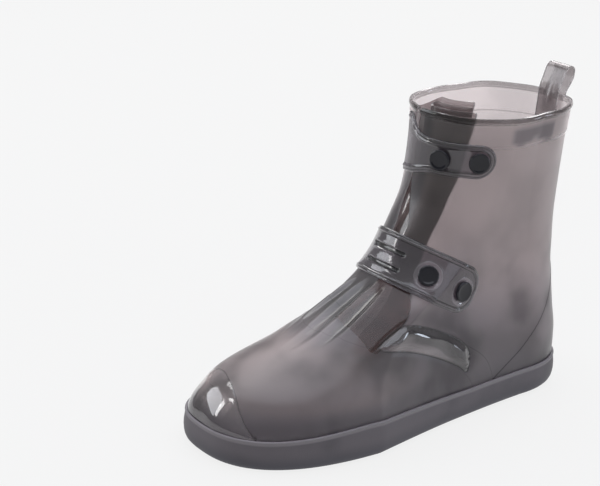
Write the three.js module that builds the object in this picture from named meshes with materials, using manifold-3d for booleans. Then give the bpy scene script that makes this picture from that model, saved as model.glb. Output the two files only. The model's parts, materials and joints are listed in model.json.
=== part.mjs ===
// Left-foot rain overshoe moulded in soft clear PVC: a sole cup, a boot shell with an opening at the
// front, a bellows tuck behind the opening, two straps with snap caps and a pull tab at the back.
// Millimetres, +Z up, toe towards -Y, outer side of the foot towards +X, origin under the middle of the sole.
import * as THREE from "three";
import Module from "manifold-3d";

const wasm = await Module();
wasm.setup();

// ---------- driving dimensions ----------
const SOLE_LENGTH = 295;
const HALF_LENGTH = SOLE_LENGTH / 2;
const RIM_Z = 207; // top of the shaft
const WALL = 1.6; // moulded wall of the shell
const GAP = 0.35; // air between pieces that touch in the real thing
const FLOOR = 6; // thickness of the sole under the foot
const SOLE_TOP_TOE = 25; // height of the sole's side at the toe
const SOLE_TOP_HEEL = 21; // and at the heel
const BAND_LOW = 187; // lower edge of the thickened band below the rim
const BAND_PROUD = 0.7;
const LIP_LOW = 203.5; // lower edge of the lip on the rim
const LIP_PROUD = 1.5;
const COLUMNS = 25; // facets from toe to heel on each side

// Level sections of the shell's outer face, bottom to top. Front and back are the ends on the Y axis, toeExp and
// heelExp how square those ends are, the three stations are where the half widths are measured (outer side, inner
// side), and turn swings the toe towards the inner side.
const COLS = ["z", "front", "back", "toeExp", "heelExp", "yBall", "yWaist", "yHeel",
  "outBall", "outWaist", "outHeel", "inBall", "inWaist", "inHeel", "turn"];
const SECTIONS = [
  [6, -143.5, 143.5, 2.5, 2.2, -48, 25, 95, 57.6, 44.7, 37.6, 50.3, 40.3, 38.6, -5.9],
  [20, -145, 145, 2.5, 2.2, -48, 25, 95, 58.4, 45.5, 38.4, 51.1, 41.1, 39.4, -5.9],
  [40, -134.4, 143.9, 2.2, 2.2, -48, 27, 95, 56, 44, 39, 48, 40, 39, -6],
  [60, -91.8, 139.5, 1.85, 2.2, -38, 30, 95, 50, 41, 38, 36, 35.5, 38, -6],
  [80, -45.3, 136.3, 1.9, 2.2, -15, 35, 93, 43, 38, 37, 27, 31, 37, -4],
  [100, -11.9, 134.9, 1.95, 2.2, 20, 50, 90, 38, 37, 36, 33.6, 34.3, 36, -2],
  [125, 1.1, 134.9, 2, 2.1, 50, 66, 88, 37, 37, 36, 36, 36, 36, 0],
  [150, 14.3, 134.7, 2, 2.1, 60, 72, 86, 38, 38.5, 38, 38, 38, 38, 0],
  [180, 19.8, 135, 2, 2.1, 64, 76, 85, 41, 41.5, 41, 41, 41, 41, 0],
  [215, 21.5, 137.5, 2.1, 2.1, 66, 78, 86, 44, 44.5, 44, 44, 44.5, 44, 0],
];
const SOLE_PLAN = [0, -HALF_LENGTH, HALF_LENGTH, 2.55, 2.2, -48, 25, 95, 61.4, 48.5, 41.4, 54.1, 44.1, 42.4, -5.9];

// Front opening of the shell: heights and the X of its inner-side and outer-side edges.
const SLIT = [[215, -9, -3.5], [180, -9.5, -5], [160, -8, -4.6], [146, -10.5, -0.3], [129, -5, 7.5], [110, -3, 6]];

// Bellows tuck behind the opening: height, front fold and rear fold measured round the wall from the ridge of the
// boot, and where its free layer starts (inner side of the opening above the instep, at the front fold below it).
const TUCK = [
  // z, front, rear, start, risen (1 = the free layer comes up to the wall in front of the folds)
  [67, 46, 58, 43.5, 0],
  [74, 31, 55.5, 28.5, 0],
  [82, 27, 50, 24.5, 0],
  [91, 21, 37, 18.5, 0],
  [100, 14, 28, 10.5, 0],
  [110, 8, 25, -2, 0.5],
  [120, 6.5, 24.7, -11, 1],
  [134, 5.5, 24.6, -13, 1],
  [148, 5, 25, -14, 1],
  [166, 4.5, 29, -14, 1],
  [186, 4.5, 32, -14, 1],
  [206.5, 4.5, 36.5, -14, 1],
];
const TUCK_THICK = 1;
const TUCK_PITCH = 2; // centre to centre of its layers
const TUCK_DEPTH = 2.85; // first layer's centre below the shell's outer face

// Straps
const TOP_STRAP = { start: -0.1, snapFront: 0.105, snapRear: 0.254, z: 178.2, radius: 11.5, low: 1.05, thick: 1.6 };
const INSTEP_STRAP = {
  rise: 0.4605, run: 0.8877, // direction of the instep ridge in the Y-Z plane
  offset: 96.2, halfWidth: 16.6, // distance of its centre line along that direction, half of its width
  outerEnd: -3.5, innerEnd: -9, corner: 10, low: 0.65, thick: 1.8,
  slots: [4.8, -6.6], slotHalf: 1.7, slotOuter: 0.088, slotInner: -0.088,
  snapFront: [-1.8, -42.6], snapRear: [-1.4, -17.4],
};
const SNAP = { radius: 6.9, high: 2.4, bevel: 0.6, facets: 24 };
const TAB = { halfWidth: 10, thick: 1.5 };

// ---------- curves ----------
// Shape-preserving cubic through the rows of one column.
function smooth(xs, ys) {
  const n = xs.length;
  const h = [], s = [];
  for (let i = 0; i < n - 1; i++) {
    h.push(xs[i + 1] - xs[i]);
    s.push((ys[i + 1] - ys[i]) / h[i]);
  }
  const m = new Array(n).fill(0);
  for (let i = 1; i < n - 1; i++)
    if (s[i - 1] * s[i] > 0) {
      const w1 = 2 * h[i] + h[i - 1], w2 = h[i] + 2 * h[i - 1];
      m[i] = (w1 + w2) / (w1 / s[i - 1] + w2 / s[i]);
    }
  m[0] = n > 2 ? endSlope(h[0], h[1], s[0], s[1]) : s[0];
  m[n - 1] = n > 2 ? endSlope(h[n - 2], h[n - 3], s[n - 2], s[n - 3]) : s[0];
  return (x) => {
    const q = Math.min(Math.max(x, xs[0]), xs[n - 1]);
    let i = 0;
    while (i < n - 2 && q > xs[i + 1]) i++;
    const t = (q - xs[i]) / h[i];
    const a = (1 + 2 * t) * (1 - t) * (1 - t), b = t * (1 - t) * (1 - t), c = t * t * (3 - 2 * t), d = t * t * (t - 1);
    return a * ys[i] + b * h[i] * m[i] + c * ys[i + 1] + d * h[i] * m[i + 1];
  };
}
function endSlope(h0, h1, s0, s1) {
  const d = ((2 * h0 + h1) * s0 - h0 * s1) / (h0 + h1);
  if (d * s0 <= 0) return 0;
  return s0 * s1 <= 0 && Math.abs(d) > 3 * Math.abs(s0) ? 3 * s0 : d;
}
const columnsOf = (rows) => rows[0].slice(1).map((_, k) => smooth(rows.map((r) => r[0]), rows.map((r) => r[k + 1])));

// Half of one level outline from the toe round to the heel, with its running length.
function halfOutline(row, side) {
  const v = Object.fromEntries(COLS.map((c, i) => [c, row[i]]));
  const [ball, waist, heel] = side > 0 ? [v.outBall, v.outWaist, v.outHeel] : [v.inBall, v.inWaist, v.inHeel];
  const pts = [];
  const N = 36;
  for (let i = N; i >= 0; i--) {
    const t = (i / N) * (Math.PI / 2);
    pts.push([ball * Math.cos(t) ** (2 / v.toeExp), v.yBall + (v.front - v.yBall) * Math.sin(t) ** (2 / v.toeExp)]);
  }
  const width = smooth([v.yBall, v.yWaist, v.yHeel], [ball, waist, heel]);
  for (let i = 1; i < 22; i++) {
    const y = v.yBall + ((v.yHeel - v.yBall) * i) / 22;
    pts.push([width(y), y]);
  }
  for (let i = 0; i <= N; i++) {
    const t = (i / N) * (Math.PI / 2);
    pts.push([heel * Math.cos(t) ** (2 / v.heelExp), v.yHeel + (v.back - v.yHeel) * Math.sin(t) ** (2 / v.heelExp)]);
  }
  const out = pts.map(([x, y]) => [side * x + v.turn * Math.min(Math.max(-y / HALF_LENGTH, 0), 1) ** 2, y]);
  const run = [0];
  for (let i = 1; i < out.length; i++)
    run.push(run[i - 1] + Math.hypot(out[i][0] - out[i - 1][0], out[i][1] - out[i - 1][1]));
  return { out, run };
}
function alongHalf(half, share) {
  const { out, run } = half;
  const q = Math.min(Math.max(share, 0), 1) * run[run.length - 1];
  let lo = 0, hi = run.length - 1;
  while (hi - lo > 1) {
    const mid = (lo + hi) >> 1;
    if (run[mid] <= q) lo = mid;
    else hi = mid;
  }
  const t = run[hi] > run[lo] ? (q - run[lo]) / (run[hi] - run[lo]) : 0;
  return [out[lo][0] + (out[hi][0] - out[lo][0]) * t, out[lo][1] + (out[hi][1] - out[lo][1]) * t];
}

// Shell's outer face: a runs from 0 at the ridge over the toe to +1 round the outer side to the heel, or -1 by the inner side.
const sectionCols = columnsOf(SECTIONS);
const kept = new Map();
function shell(a, z) {
  let q = a;
  if (q > 1) q -= 2;
  if (q < -1) q += 2;
  const side = q < 0 ? -1 : 1;
  const key = side * Math.round(z * 1000);
  if (!kept.has(key)) kept.set(key, halfOutline([z, ...sectionCols.map((c) => c(z))], side));
  const [x, y] = alongHalf(kept.get(key), Math.abs(q));
  return new THREE.Vector3(x, y, z);
}
function normalAt(a, z) {
  const da = 0.012, dz = 1;
  const u = shell(a + da, z).sub(shell(a - da, z));
  const v = shell(a, z + dz).sub(shell(a, Math.max(z - dz, 6)));
  return u.cross(v).normalize();
}
const skin = (a, z, d) => shell(a, z).addScaledVector(normalAt(a, z), d);
const halfRound = (z, side) => kept.get(side * Math.round(z * 1000))?.run.at(-1) ?? (shell(side * 0.5, z), halfRound(z, side));
const shareOf = (s, z) => s / halfRound(z, s < 0 ? -1 : 1);

// ---------- solids ----------
function solidFrom(verts, tris) {
  let vol = 0;
  const v = new Float32Array(verts.length * 3);
  verts.forEach((p, i) => v.set([p.x, p.y, p.z], i * 3));
  for (const [i, j, k] of tris) vol += verts[i].dot(new THREE.Vector3().crossVectors(verts[j], verts[k]));
  const t = new Uint32Array(tris.flatMap(([i, j, k]) => (vol < 0 ? [i, k, j] : [i, j, k])));
  return new wasm.Manifold(new wasm.Mesh({ numProp: 3, vertProperties: v, triVerts: t }));
}
// Wall between two faces given as grids of points; closed walls join their last column to the first.
function wall(face, back, closed) {
  const cols = face.length, rows = face[0].length;
  const verts = [...face.flat(), ...back.flat()];
  const F = (i, j) => (i % cols) * rows + j, B = (i, j) => cols * rows + (i % cols) * rows + j;
  const tris = [];
  const quad = (a, b, c, d) => tris.push([a, b, c], [a, c, d]);
  const last = closed ? cols : cols - 1;
  for (let i = 0; i < last; i++) {
    for (let j = 0; j < rows - 1; j++) {
      quad(F(i, j), F(i + 1, j), F(i + 1, j + 1), F(i, j + 1));
      quad(B(i, j), B(i, j + 1), B(i + 1, j + 1), B(i + 1, j));
    }
    quad(F(i, 0), B(i, 0), B(i + 1, 0), F(i + 1, 0));
    quad(F(i, rows - 1), F(i + 1, rows - 1), B(i + 1, rows - 1), B(i, rows - 1));
  }
  if (!closed)
    for (let j = 0; j < rows - 1; j++) {
      quad(F(0, j), F(0, j + 1), B(0, j + 1), B(0, j));
      quad(F(cols - 1, j), B(cols - 1, j), B(cols - 1, j + 1), F(cols - 1, j + 1));
    }
  return solidFrom(verts, tris);
}
const ring = [];
for (let i = 0; i < COLUMNS; i++) ring.push(i / COLUMNS);
for (let i = COLUMNS; i > 0; i--) ring.push(-i / COLUMNS);

// Sole cup: rounded lower edge, side wall and the floor, closed across by strips from side to side.
function makeOutsole() {
  const plan = { "1": halfOutline(SOLE_PLAN, 1), "-1": halfOutline(SOLE_PLAN, -1) };
  const edge = (a, inset, z) => {
    const at = (q) => {
      const w = q > 1 ? q - 2 : q < -1 ? q + 2 : q;
      const [x, y] = alongHalf(plan[w < 0 ? -1 : 1], Math.abs(w));
      return new THREE.Vector3(x, y, 0);
    };
    const u = at(a + 0.01).sub(at(a - 0.01)).normalize();
    const p = at(a);
    return new THREE.Vector3(p.x - u.y * inset, p.y + u.x * inset, z);
  };
  const top = (a) => {
    const y = edge(a, 0, 0).y;
    return SOLE_TOP_TOE + (SOLE_TOP_HEEL - SOLE_TOP_TOE) * Math.min(Math.max((y + 60) / 100, 0), 1);
  };
  const loops = [
    (a) => edge(a, 3.4, 0),
    (a) => edge(a, 1.1, 1.1),
    (a) => edge(a, 0, 5),
    (a) => edge(a, 0, top(a) - 1),
    (a) => edge(a, 0.7, top(a)),
    (a) => skin(a, top(a), GAP).setZ(top(a)),
    (a) => skin(a, 18.5, GAP),
    (a) => skin(a, 14, GAP),
    (a) => skin(a, FLOOR, GAP),
  ];
  const n = ring.length;
  const verts = loops.flatMap((f) => ring.map(f));
  const tris = [];
  for (let k = 0; k < loops.length - 1; k++)
    for (let i = 0; i < n; i++) {
      const p = k * n + i, q = k * n + ((i + 1) % n);
      tris.push([p, q, q + n], [p, q + n, p + n]);
    }
  const cap = (base, flip) => {
    const add = (a, b, c) => tris.push(flip ? [a, c, b] : [a, b, c]);
    for (let i = 0; i < COLUMNS; i++) {
      const r0 = base + i, r1 = base + i + 1, l0 = base + ((n - i) % n), l1 = base + (n - i - 1);
      if (i === 0) add(r0, l1, r1);
      else if (i === COLUMNS - 1) add(r0, l0, r1);
      else {
        add(r0, l0, r1);
        add(l0, l1, r1);
      }
    }
  };
  cap(0, false);
  cap((loops.length - 1) * n, true);
  return solidFrom(verts, tris);
}

// Boot shell: one wall with the band and the lip proud at the top, cut open down the front.
function makeUpper() {
  const levels = [FLOOR + GAP, 14, 18.5, 23, 30, 38, 46, 54, 62, 70, 78, 85, 92, 99, 106, 113, 120, 130, 142, 156, 171,
    BAND_LOW - 0.7, BAND_LOW, LIP_LOW - 0.6, LIP_LOW, RIM_Z];
  const proud = (z) => (z >= LIP_LOW ? LIP_PROUD : z >= BAND_LOW ? BAND_PROUD : 0);
  const made = wall(
    ring.map((a) => levels.map((z) => skin(a, z, proud(z)).setZ(z === RIM_Z ? RIM_Z : skin(a, z, proud(z)).z))),
    ring.map((a) => levels.map((z) => (z === RIM_Z || z === levels[0] ? skin(a, z, -WALL).setZ(z) : skin(a, z, -WALL)))),
    true,
  );
  const outer = SLIT.map(([z, , x]) => [x, z]), inner = SLIT.map(([z, x]) => [x, z]);
  const shape = new THREE.Shape([...inner, ...outer.reverse()].map(([x, z]) => new THREE.Vector2(x, z)));
  const g = new THREE.ExtrudeGeometry(shape, { depth: 110, bevelEnabled: false, steps: 1 });
  g.rotateX(Math.PI / 2); // the shape's plane becomes X-Z and the cutter runs along -Y
  g.translate(0, 60, 0);
  return made.subtract(fromGeometry(g));
}

// Bellows tuck: one sheet that runs from the outer edge of the opening back along the wall, folds forward, back and
// forward again, and comes up to the inner side of the opening.
function makeTuck() {
  const at = columnsOf(TUCK);
  const half = TUCK_THICK / 2;
  const faces = [[], []];
  const levels = [67, 74, 82, 91, 100, 110, 120, 134, 150, 168, 187, 206.5];
  const path = (z) => {
    const [front, rear, start, risen] = at.map((f) => f(z));
    const d = (k) => TUCK_DEPTH + k * TUCK_PITCH;
    const first = Math.max(start + 13, front - 4.5) * risen + (front + 1) * (1 - risen); // outer edge of the opening
    const back = rear - 2.2;
    const line = [];
    const straight = (s0, s1, k0, k1, n) => {
      for (let i = 0; i < n; i++) line.push([s0 + ((s1 - s0) * i) / n, d(k0 + ((k1 - k0) * i) / n)]);
    };
    const bend = (s, k, way) => { // half turn from layer k to layer k + 1
      for (let i = 0; i <= 3; i++) {
        const t = (Math.PI * i) / 3;
        line.push([s + way * Math.sin(t) * TUCK_PITCH * 0.5, d(k + 0.5 - 0.5 * Math.cos(t))]);
      }
    };
    const turn = TUCK_PITCH / 2;
    straight(first, rear - turn, 0, 0, 4);
    bend(rear - turn, 0, 1);
    straight(rear - turn - 1.5, front + turn + 1.5, 1, 1, 4);
    bend(front + turn, 1, -1);
    straight(front + turn + 1.5, back - turn - 1.5, 2, 2, 4);
    bend(back - turn, 2, 1);
    const low = front + 0.5;
    straight(back - turn - 1.5, low, 3, 3, 4);
    for (let i = 0; i <= 5; i++) {
      const t = i / 5, e = t * t * (3 - 2 * t);
      line.push([low + (start - low) * t, d(3 - 3 * risen * e)]);
    }
    return line;
  };
  const rows = levels.map((z) => ({ z, line: path(z) }));
  const count = rows[0].line.length;
  for (let i = 0; i < count; i++) {
    const up = [], down = [];
    for (const { z, line } of rows) {
      const p = line[i], before = line[Math.max(i - 1, 0)], after = line[Math.min(i + 1, count - 1)];
      const ts = after[0] - before[0], td = after[1] - before[1], len = Math.hypot(ts, td) || 1;
      const ns = -td / len, nd = ts / len;
      const place = (k) => {
        const s = p[0] + ns * k, dd = p[1] + nd * k;
        const at2 = skin(shareOf(s || 1e-6, z), z, -dd);
        return at2;
      };
      up.push(place(-half));
      down.push(place(half));
    }
    faces[0].push(up);
    faces[1].push(down);
  }
  return wall(faces[0], faces[1], false);
}

// Top strap: comes off the inner flap with a swept upper edge and ends in a half round about the rear snap.
const topEdge = smooth([-0.1, -0.075, -0.058, -0.03, -0.01, 0.06, 0.128, 0.254], [202.5, 202, 199, 193.5, 191.6, 190, 189.8, 189.8]);
const lowEdge = smooth([-0.1, -0.04, 0.075, 0.183, 0.254], [162, 163.4, 167.4, 167.2, 166.7]);
function makeTopStrap() {
  const S = TOP_STRAP, perRound = 160;
  const shares = [-0.1, -0.088, -0.075, -0.062, -0.048, -0.034, -0.02, -0.006, 0.01, 0.028, 0.046, 0.066, 0.088, 0.11, 0.135,
    0.16, 0.185, 0.21, 0.235, 0.254];
  for (const t of [0.35, 0.65, 0.85, 0.95, 0.992]) shares.push(S.snapRear + (t * S.radius) / perRound);
  const ends = (a) => {
    if (a <= S.snapRear) return [lowEdge(a), topEdge(a)];
    const h = Math.sqrt(Math.max(S.radius ** 2 - ((a - S.snapRear) * perRound) ** 2, 0));
    return [S.z - h, S.z + h];
  };
  const face = (d) => shares.map((a) => {
    const [lo, hi] = ends(a);
    return [0, 0.25, 0.5, 0.75, 1].map((t) => skin(a, lo + (hi - lo) * t, d));
  });
  return wall(face(S.low + S.thick), face(S.low), false);
}

// Instep strap frame: t across the strap along the ridge of the instep, m backwards and down along the strap.
function onStrap(a, t) {
  const S = INSTEP_STRAP;
  let lo = 55, hi = 165;
  for (let i = 0; i < 26; i++) {
    const z = (lo + hi) / 2, p = shell(a, z);
    if (p.y * S.rise + p.z * S.run < S.offset + t) lo = z;
    else hi = z;
  }
  return (lo + hi) / 2;
}
function shareAt(t, m, side) {
  const S = INSTEP_STRAP;
  let lo = 0, hi = 0.7;
  for (let i = 0; i < 24; i++) {
    const a = (lo + hi) / 2, p = shell(side * a, onStrap(side * a, t));
    if (p.y * S.run - p.z * S.rise < m) lo = a;
    else hi = a;
  }
  return (side * (lo + hi)) / 2;
}
function strapPiece(ts, from, to, n, low, high) {
  const rows = ts.map((t) => [t, from(t), to(t)]);
  const face = (d) => {
    const cols = [];
    for (let i = 0; i <= n; i++)
      cols.push(rows.map(([t, a0, a1]) => {
        const a = a0 + ((a1 - a0) * i) / n;
        return skin(a, onStrap(a, t), d);
      }));
    return cols;
  };
  return wall(face(high), face(low), false);
}
function makeInstepStrap() {
  const S = INSTEP_STRAP, w = S.halfWidth, r = S.corner;
  const back = (t) => r - Math.sqrt(Math.max(r * r - Math.max(Math.abs(t) - (w - r), 0) ** 2, 0));
  const ts = [-1, -0.95, -0.78, -0.4, 0, 0.4, 0.78, 0.95, 1].map((k) => k * w);
  let made = strapPiece(ts, (t) => shareAt(t, S.innerEnd - back(t), -1), (t) => shareAt(t, S.outerEnd - back(t), 1), 26,
    S.low, S.low + S.thick);
  for (const c of S.slots) {
    const h = S.slotHalf;
    const cut = strapPiece([c - h, c, c + h], (t) => S.slotInner + (Math.abs(t - c) > h / 2 ? 0.008 : 0),
      (t) => S.slotOuter - (Math.abs(t - c) > h / 2 ? 0.008 : 0), 8, S.low - 0.4, S.low + S.thick + 0.8);
    made = made.subtract(cut);
  }
  return made;
}

// Snap cap: a flat disc with a bevelled rim standing on the strap.
function makeSnap(a, z, d) {
  const { radius, high, bevel, facets } = SNAP;
  const profile = [[0, 0], [radius - 0.4, 0], [radius, 0.5], [radius, high - bevel], [radius - bevel, high], [0, high]];
  const g = new THREE.LatheGeometry(profile.map(([x, y]) => new THREE.Vector2(x, y)), facets);
  const n = normalAt(a, z), p = skin(a, z, d);
  g.applyQuaternion(new THREE.Quaternion().setFromUnitVectors(new THREE.Vector3(0, 1, 0), n));
  g.translate(p.x, p.y, p.z);
  return fromGeometry(g);
}

// Pull tab: one strip up the inside of the back, over in a loop that leans back, and down the outside of the band.
function makeTab() {
  const path = [[131.8, 176], [132.2, 186], [132.9, 196], [133.6, 205], [134.2, 210], [136, 216.5], [137.6, 222], [139.4, 225.8],
    [142, 227.4], [144.8, 226.6], [146.4, 223.8], [146.2, 219.5], [144, 213.6], [141.4, 209], [140.2, 204.8], [139.9, 198], [139.2, 190]];
  const hug = [1, 1, 1, 1, 0.9, 0.6, 0.4, 0.3, 0.3, 0.3, 0.3, 0.4, 0.6, 0.8, 0.9, 0.9, 0.9];
  const across = [-1, -0.5, 0, 0.5, 1].map((k) => k * TAB.halfWidth);
  const sag = (x) => (x * x) / 76;
  const face = (k) => across.map((x) => path.map((p, i) => {
    const b = path[Math.max(i - 1, 0)], f = path[Math.min(i + 1, path.length - 1)];
    const len = Math.hypot(f[0] - b[0], f[1] - b[1]);
    const ny = (f[1] - b[1]) / len, nz = -(f[0] - b[0]) / len;
    return new THREE.Vector3(x, p[0] + (ny * k * TAB.thick) / 2 - hug[i] * sag(x), p[1] + (nz * k * TAB.thick) / 2);
  }));
  return wall(face(1), face(-1), false);
}

function fromGeometry(g) {
  const at = g.getAttribute("position");
  const seen = new Map(), verts = [], ids = [];
  for (let i = 0; i < at.count; i++) {
    const key = [at.getX(i), at.getY(i), at.getZ(i)].map((v) => Math.round(v * 1e4)).join();
    if (!seen.has(key)) {
      seen.set(key, verts.length);
      verts.push(new THREE.Vector3(at.getX(i), at.getY(i), at.getZ(i)));
    }
    ids.push(seen.get(key));
  }
  const order = g.index ? [...g.index.array] : [...ids.keys()];
  const tris = [];
  for (let i = 0; i < order.length; i += 3) {
    const t = [ids[order[i]], ids[order[i + 1]], ids[order[i + 2]]];
    if (new Set(t).size === 3) tris.push(t);
  }
  return solidFrom(verts, tris);
}

// ---------- the boot ----------
const smoky = { color: 0x8f8a8e, roughness: 0.4, metalness: 0 };
const boot = new THREE.Group();
function add(name, solid, look) {
  const m = solid.getMesh(), v = new Float32Array(m.numVert * 3);
  for (let i = 0; i < m.numVert; i++) v.set(m.vertProperties.subarray(i * m.numProp, i * m.numProp + 3), i * 3);
  const g = new THREE.BufferGeometry().setAttribute("position", new THREE.BufferAttribute(v, 3)).setIndex(new THREE.BufferAttribute(m.triVerts, 1));
  g.computeVertexNormals();
  const mesh = new THREE.Mesh(g, new THREE.MeshStandardMaterial(look));
  mesh.name = name;
  boot.add(mesh);
}
add("outsole", makeOutsole(), { color: 0x5a5a64, roughness: 0.65, metalness: 0 });
add("upper", makeUpper(), smoky);
add("front_gusset", makeTuck(), { ...smoky, color: 0x5e5a5e });
add("top_strap", makeTopStrap(), { ...smoky, roughness: 0.25 });
add("instep_strap", makeInstepStrap(), { ...smoky, roughness: 0.2 });
const black = { color: 0x17161b, roughness: 0.25, metalness: 0 };
const onTop = TOP_STRAP.low + TOP_STRAP.thick + 0.45, onInstep = INSTEP_STRAP.low + INSTEP_STRAP.thick + 0.45;
add("snap_top_front", makeSnap(TOP_STRAP.snapFront, 177.4, onTop), black);
add("snap_top_rear", makeSnap(TOP_STRAP.snapRear, TOP_STRAP.z, onTop), black);
for (const [name, [t, m]] of [["snap_instep_front", INSTEP_STRAP.snapFront], ["snap_instep_rear", INSTEP_STRAP.snapRear]]) {
  const a = shareAt(t, m, 1);
  add(name, makeSnap(a, onStrap(a, t), onInstep), black);
}
add("pull_tab", makeTab(), smoky);

export default boot;
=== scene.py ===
import json
import math

import bmesh
import bpy
import numpy as np
from mathutils import Matrix, Vector

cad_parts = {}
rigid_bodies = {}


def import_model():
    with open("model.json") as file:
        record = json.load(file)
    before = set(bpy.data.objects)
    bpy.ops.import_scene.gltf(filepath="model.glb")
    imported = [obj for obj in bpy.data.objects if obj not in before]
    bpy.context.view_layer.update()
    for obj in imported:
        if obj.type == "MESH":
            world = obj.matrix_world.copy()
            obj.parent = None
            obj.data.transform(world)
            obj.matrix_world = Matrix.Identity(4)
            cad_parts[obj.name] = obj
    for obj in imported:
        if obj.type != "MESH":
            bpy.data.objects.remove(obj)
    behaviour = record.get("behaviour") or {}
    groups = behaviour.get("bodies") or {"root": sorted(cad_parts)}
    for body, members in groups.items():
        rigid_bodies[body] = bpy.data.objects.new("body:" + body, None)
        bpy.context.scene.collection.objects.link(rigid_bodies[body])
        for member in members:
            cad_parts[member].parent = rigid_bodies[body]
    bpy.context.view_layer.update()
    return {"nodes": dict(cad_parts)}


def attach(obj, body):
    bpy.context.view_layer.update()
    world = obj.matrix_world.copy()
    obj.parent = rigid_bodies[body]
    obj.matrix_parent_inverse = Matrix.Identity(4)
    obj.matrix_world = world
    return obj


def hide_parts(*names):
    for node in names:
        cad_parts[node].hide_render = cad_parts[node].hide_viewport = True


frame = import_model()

MM = 0.001  # the sections below give a maker's sizes in millimetres; meshes are in metres

# ----------------------------------------------------------------------------------------------------
# Camera, floor and studio light.
# The overshoe stands on a white sweep under a large overhead softbox, with a box and a strip on the toe
# side and weak cool boxes at its outer side and back, so clear plastic glows and polished parts show soft
# reflections.
# ----------------------------------------------------------------------------------------------------
CAMERA = {"azimuth": 52.52, "elevation": 19.68, "roll": 2.87, "distance": 1.0974, "lens": 98.75}
LOOK_AT = Vector((-0.0412, -0.0457, 0.1133))
WHITE_SWEEP = (0.93, 0.93, 0.93)

az, el = math.radians(CAMERA["azimuth"]), math.radians(CAMERA["elevation"])
back = Vector((math.sin(az) * math.cos(el), -math.cos(az) * math.cos(el), math.sin(el)))
camera_data = bpy.data.cameras.new("camera")
camera_data.lens = CAMERA["lens"]
camera_data.sensor_width = 36.0
camera_data.clip_end = 50.0
camera = bpy.data.objects.new("camera", camera_data)
bpy.context.scene.collection.objects.link(camera)
aimed = (-back).to_track_quat("-Z", "Y").to_matrix().to_4x4()
rolled = Matrix.Rotation(math.radians(CAMERA["roll"]), 4, "Z")
camera.matrix_world = Matrix.Translation(LOOK_AT + back * CAMERA["distance"]) @ aimed @ rolled
bpy.context.scene.camera = camera


def softbox(name, place, aim, size, power, tint=(1.0, 1.0, 1.0)):
    """A rectangular area light at place, turned so that it shines at aim."""
    data = bpy.data.lights.new(name, "AREA")
    data.shape = "RECTANGLE"
    data.size, data.size_y = size
    data.energy = power
    data.color = tint
    lamp = bpy.data.objects.new(name, data)
    lamp.location = place
    lamp.rotation_mode = "QUATERNION"
    lamp.rotation_quaternion = (Vector(aim) - Vector(place)).to_track_quat("-Z", "Y")
    bpy.context.scene.collection.objects.link(lamp)
    return lamp


COOL, FAINT_COOL, SKY, BLUE = (0.86, 0.9, 1.0), (0.93, 0.96, 1.0), (0.86, 0.91, 1.0), (0.8, 0.88, 1.0)
softbox("overhead_softbox", (0.0, 0.2, 1.9), (0.0, 0.0, 0.1), (2.2, 2.2), 25.0, COOL)
softbox("toe_side_box", (-1.25, -1.1, 0.82), (0.0, -0.05, 0.08), (1.15, 0.8), 10.5, FAINT_COOL)
softbox("toe_strip", (-0.75, -1.45, 0.9), (0.0, -0.05, 0.08), (0.16, 0.7), 3.0)
softbox("outer_side_box", (1.65, 0.62, 0.75), (0.0, 0.05, 0.1), (1.4, 1.2), 4.6, SKY)
softbox("rear_edge_box", (1.15, 1.45, 0.34), (0.0, 0.05, 0.1), (0.26, 0.5), 3.2, BLUE)
softbox("instep_box", (-1.0, -0.05, 1.42), (0.0, -0.06, 0.08), (0.55, 0.3), 2.0)
softbox("back_softbox", (-1.3, 1.1, 1.1), (0.0, 0.0, 0.12), (1.1, 0.8), 11.0)
for lamp in bpy.context.scene.collection.objects:
    if lamp.type == "LIGHT":
        lamp.visible_camera = False

world = bpy.data.worlds.new("studio_room")
bpy.context.scene.world = world
world.use_nodes = True
room = world.node_tree
room.nodes.clear()


def room_light(low_end, high_end, low_tone, high_tone):
    """Background whose tone runs from one grey to another between two heights of the ray's own direction."""
    shine = room.nodes.new("ShaderNodeBackground")
    tone = room.nodes.new("ShaderNodeMapRange")
    limits = {"From Min": low_end, "From Max": high_end, "To Min": low_tone, "To Max": high_tone}
    for socket, value in limits.items():
        tone.inputs[socket].default_value = value
    room.links.new(upness.outputs["Z"], tone.inputs["Value"])
    room.links.new(tone.outputs["Result"], shine.inputs["Color"])
    return shine


direction = room.nodes.new("ShaderNodeTexCoord")
upness = room.nodes.new("ShaderNodeSeparateXYZ")
room.links.new(direction.outputs["Generated"], upness.inputs[0])
ray = room.nodes.new("ShaderNodeLightPath")
backdrop = room.nodes.new("ShaderNodeBackground")
backdrop.inputs["Color"].default_value = (*WHITE_SWEEP, 1.0)
# Seen through plastic the room is white to a little above the table, and dim towards the ceiling.
behind_plastic = room_light(0.12, 0.5, WHITE_SWEEP[0], 0.25)
dim_room = room_light(-0.1, 0.9, 0.16, 0.7)
through = room.nodes.new("ShaderNodeMixShader")
pick = room.nodes.new("ShaderNodeMixShader")
world_out = room.nodes.new("ShaderNodeOutputWorld")
room.links.new(ray.outputs["Is Transmission Ray"], through.inputs["Fac"])
room.links.new(dim_room.outputs[0], through.inputs[1])
room.links.new(behind_plastic.outputs[0], through.inputs[2])
room.links.new(ray.outputs["Is Camera Ray"], pick.inputs["Fac"])
room.links.new(through.outputs[0], pick.inputs[1])
room.links.new(backdrop.outputs[0], pick.inputs[2])
room.links.new(pick.outputs[0], world_out.inputs["Surface"])

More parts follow.
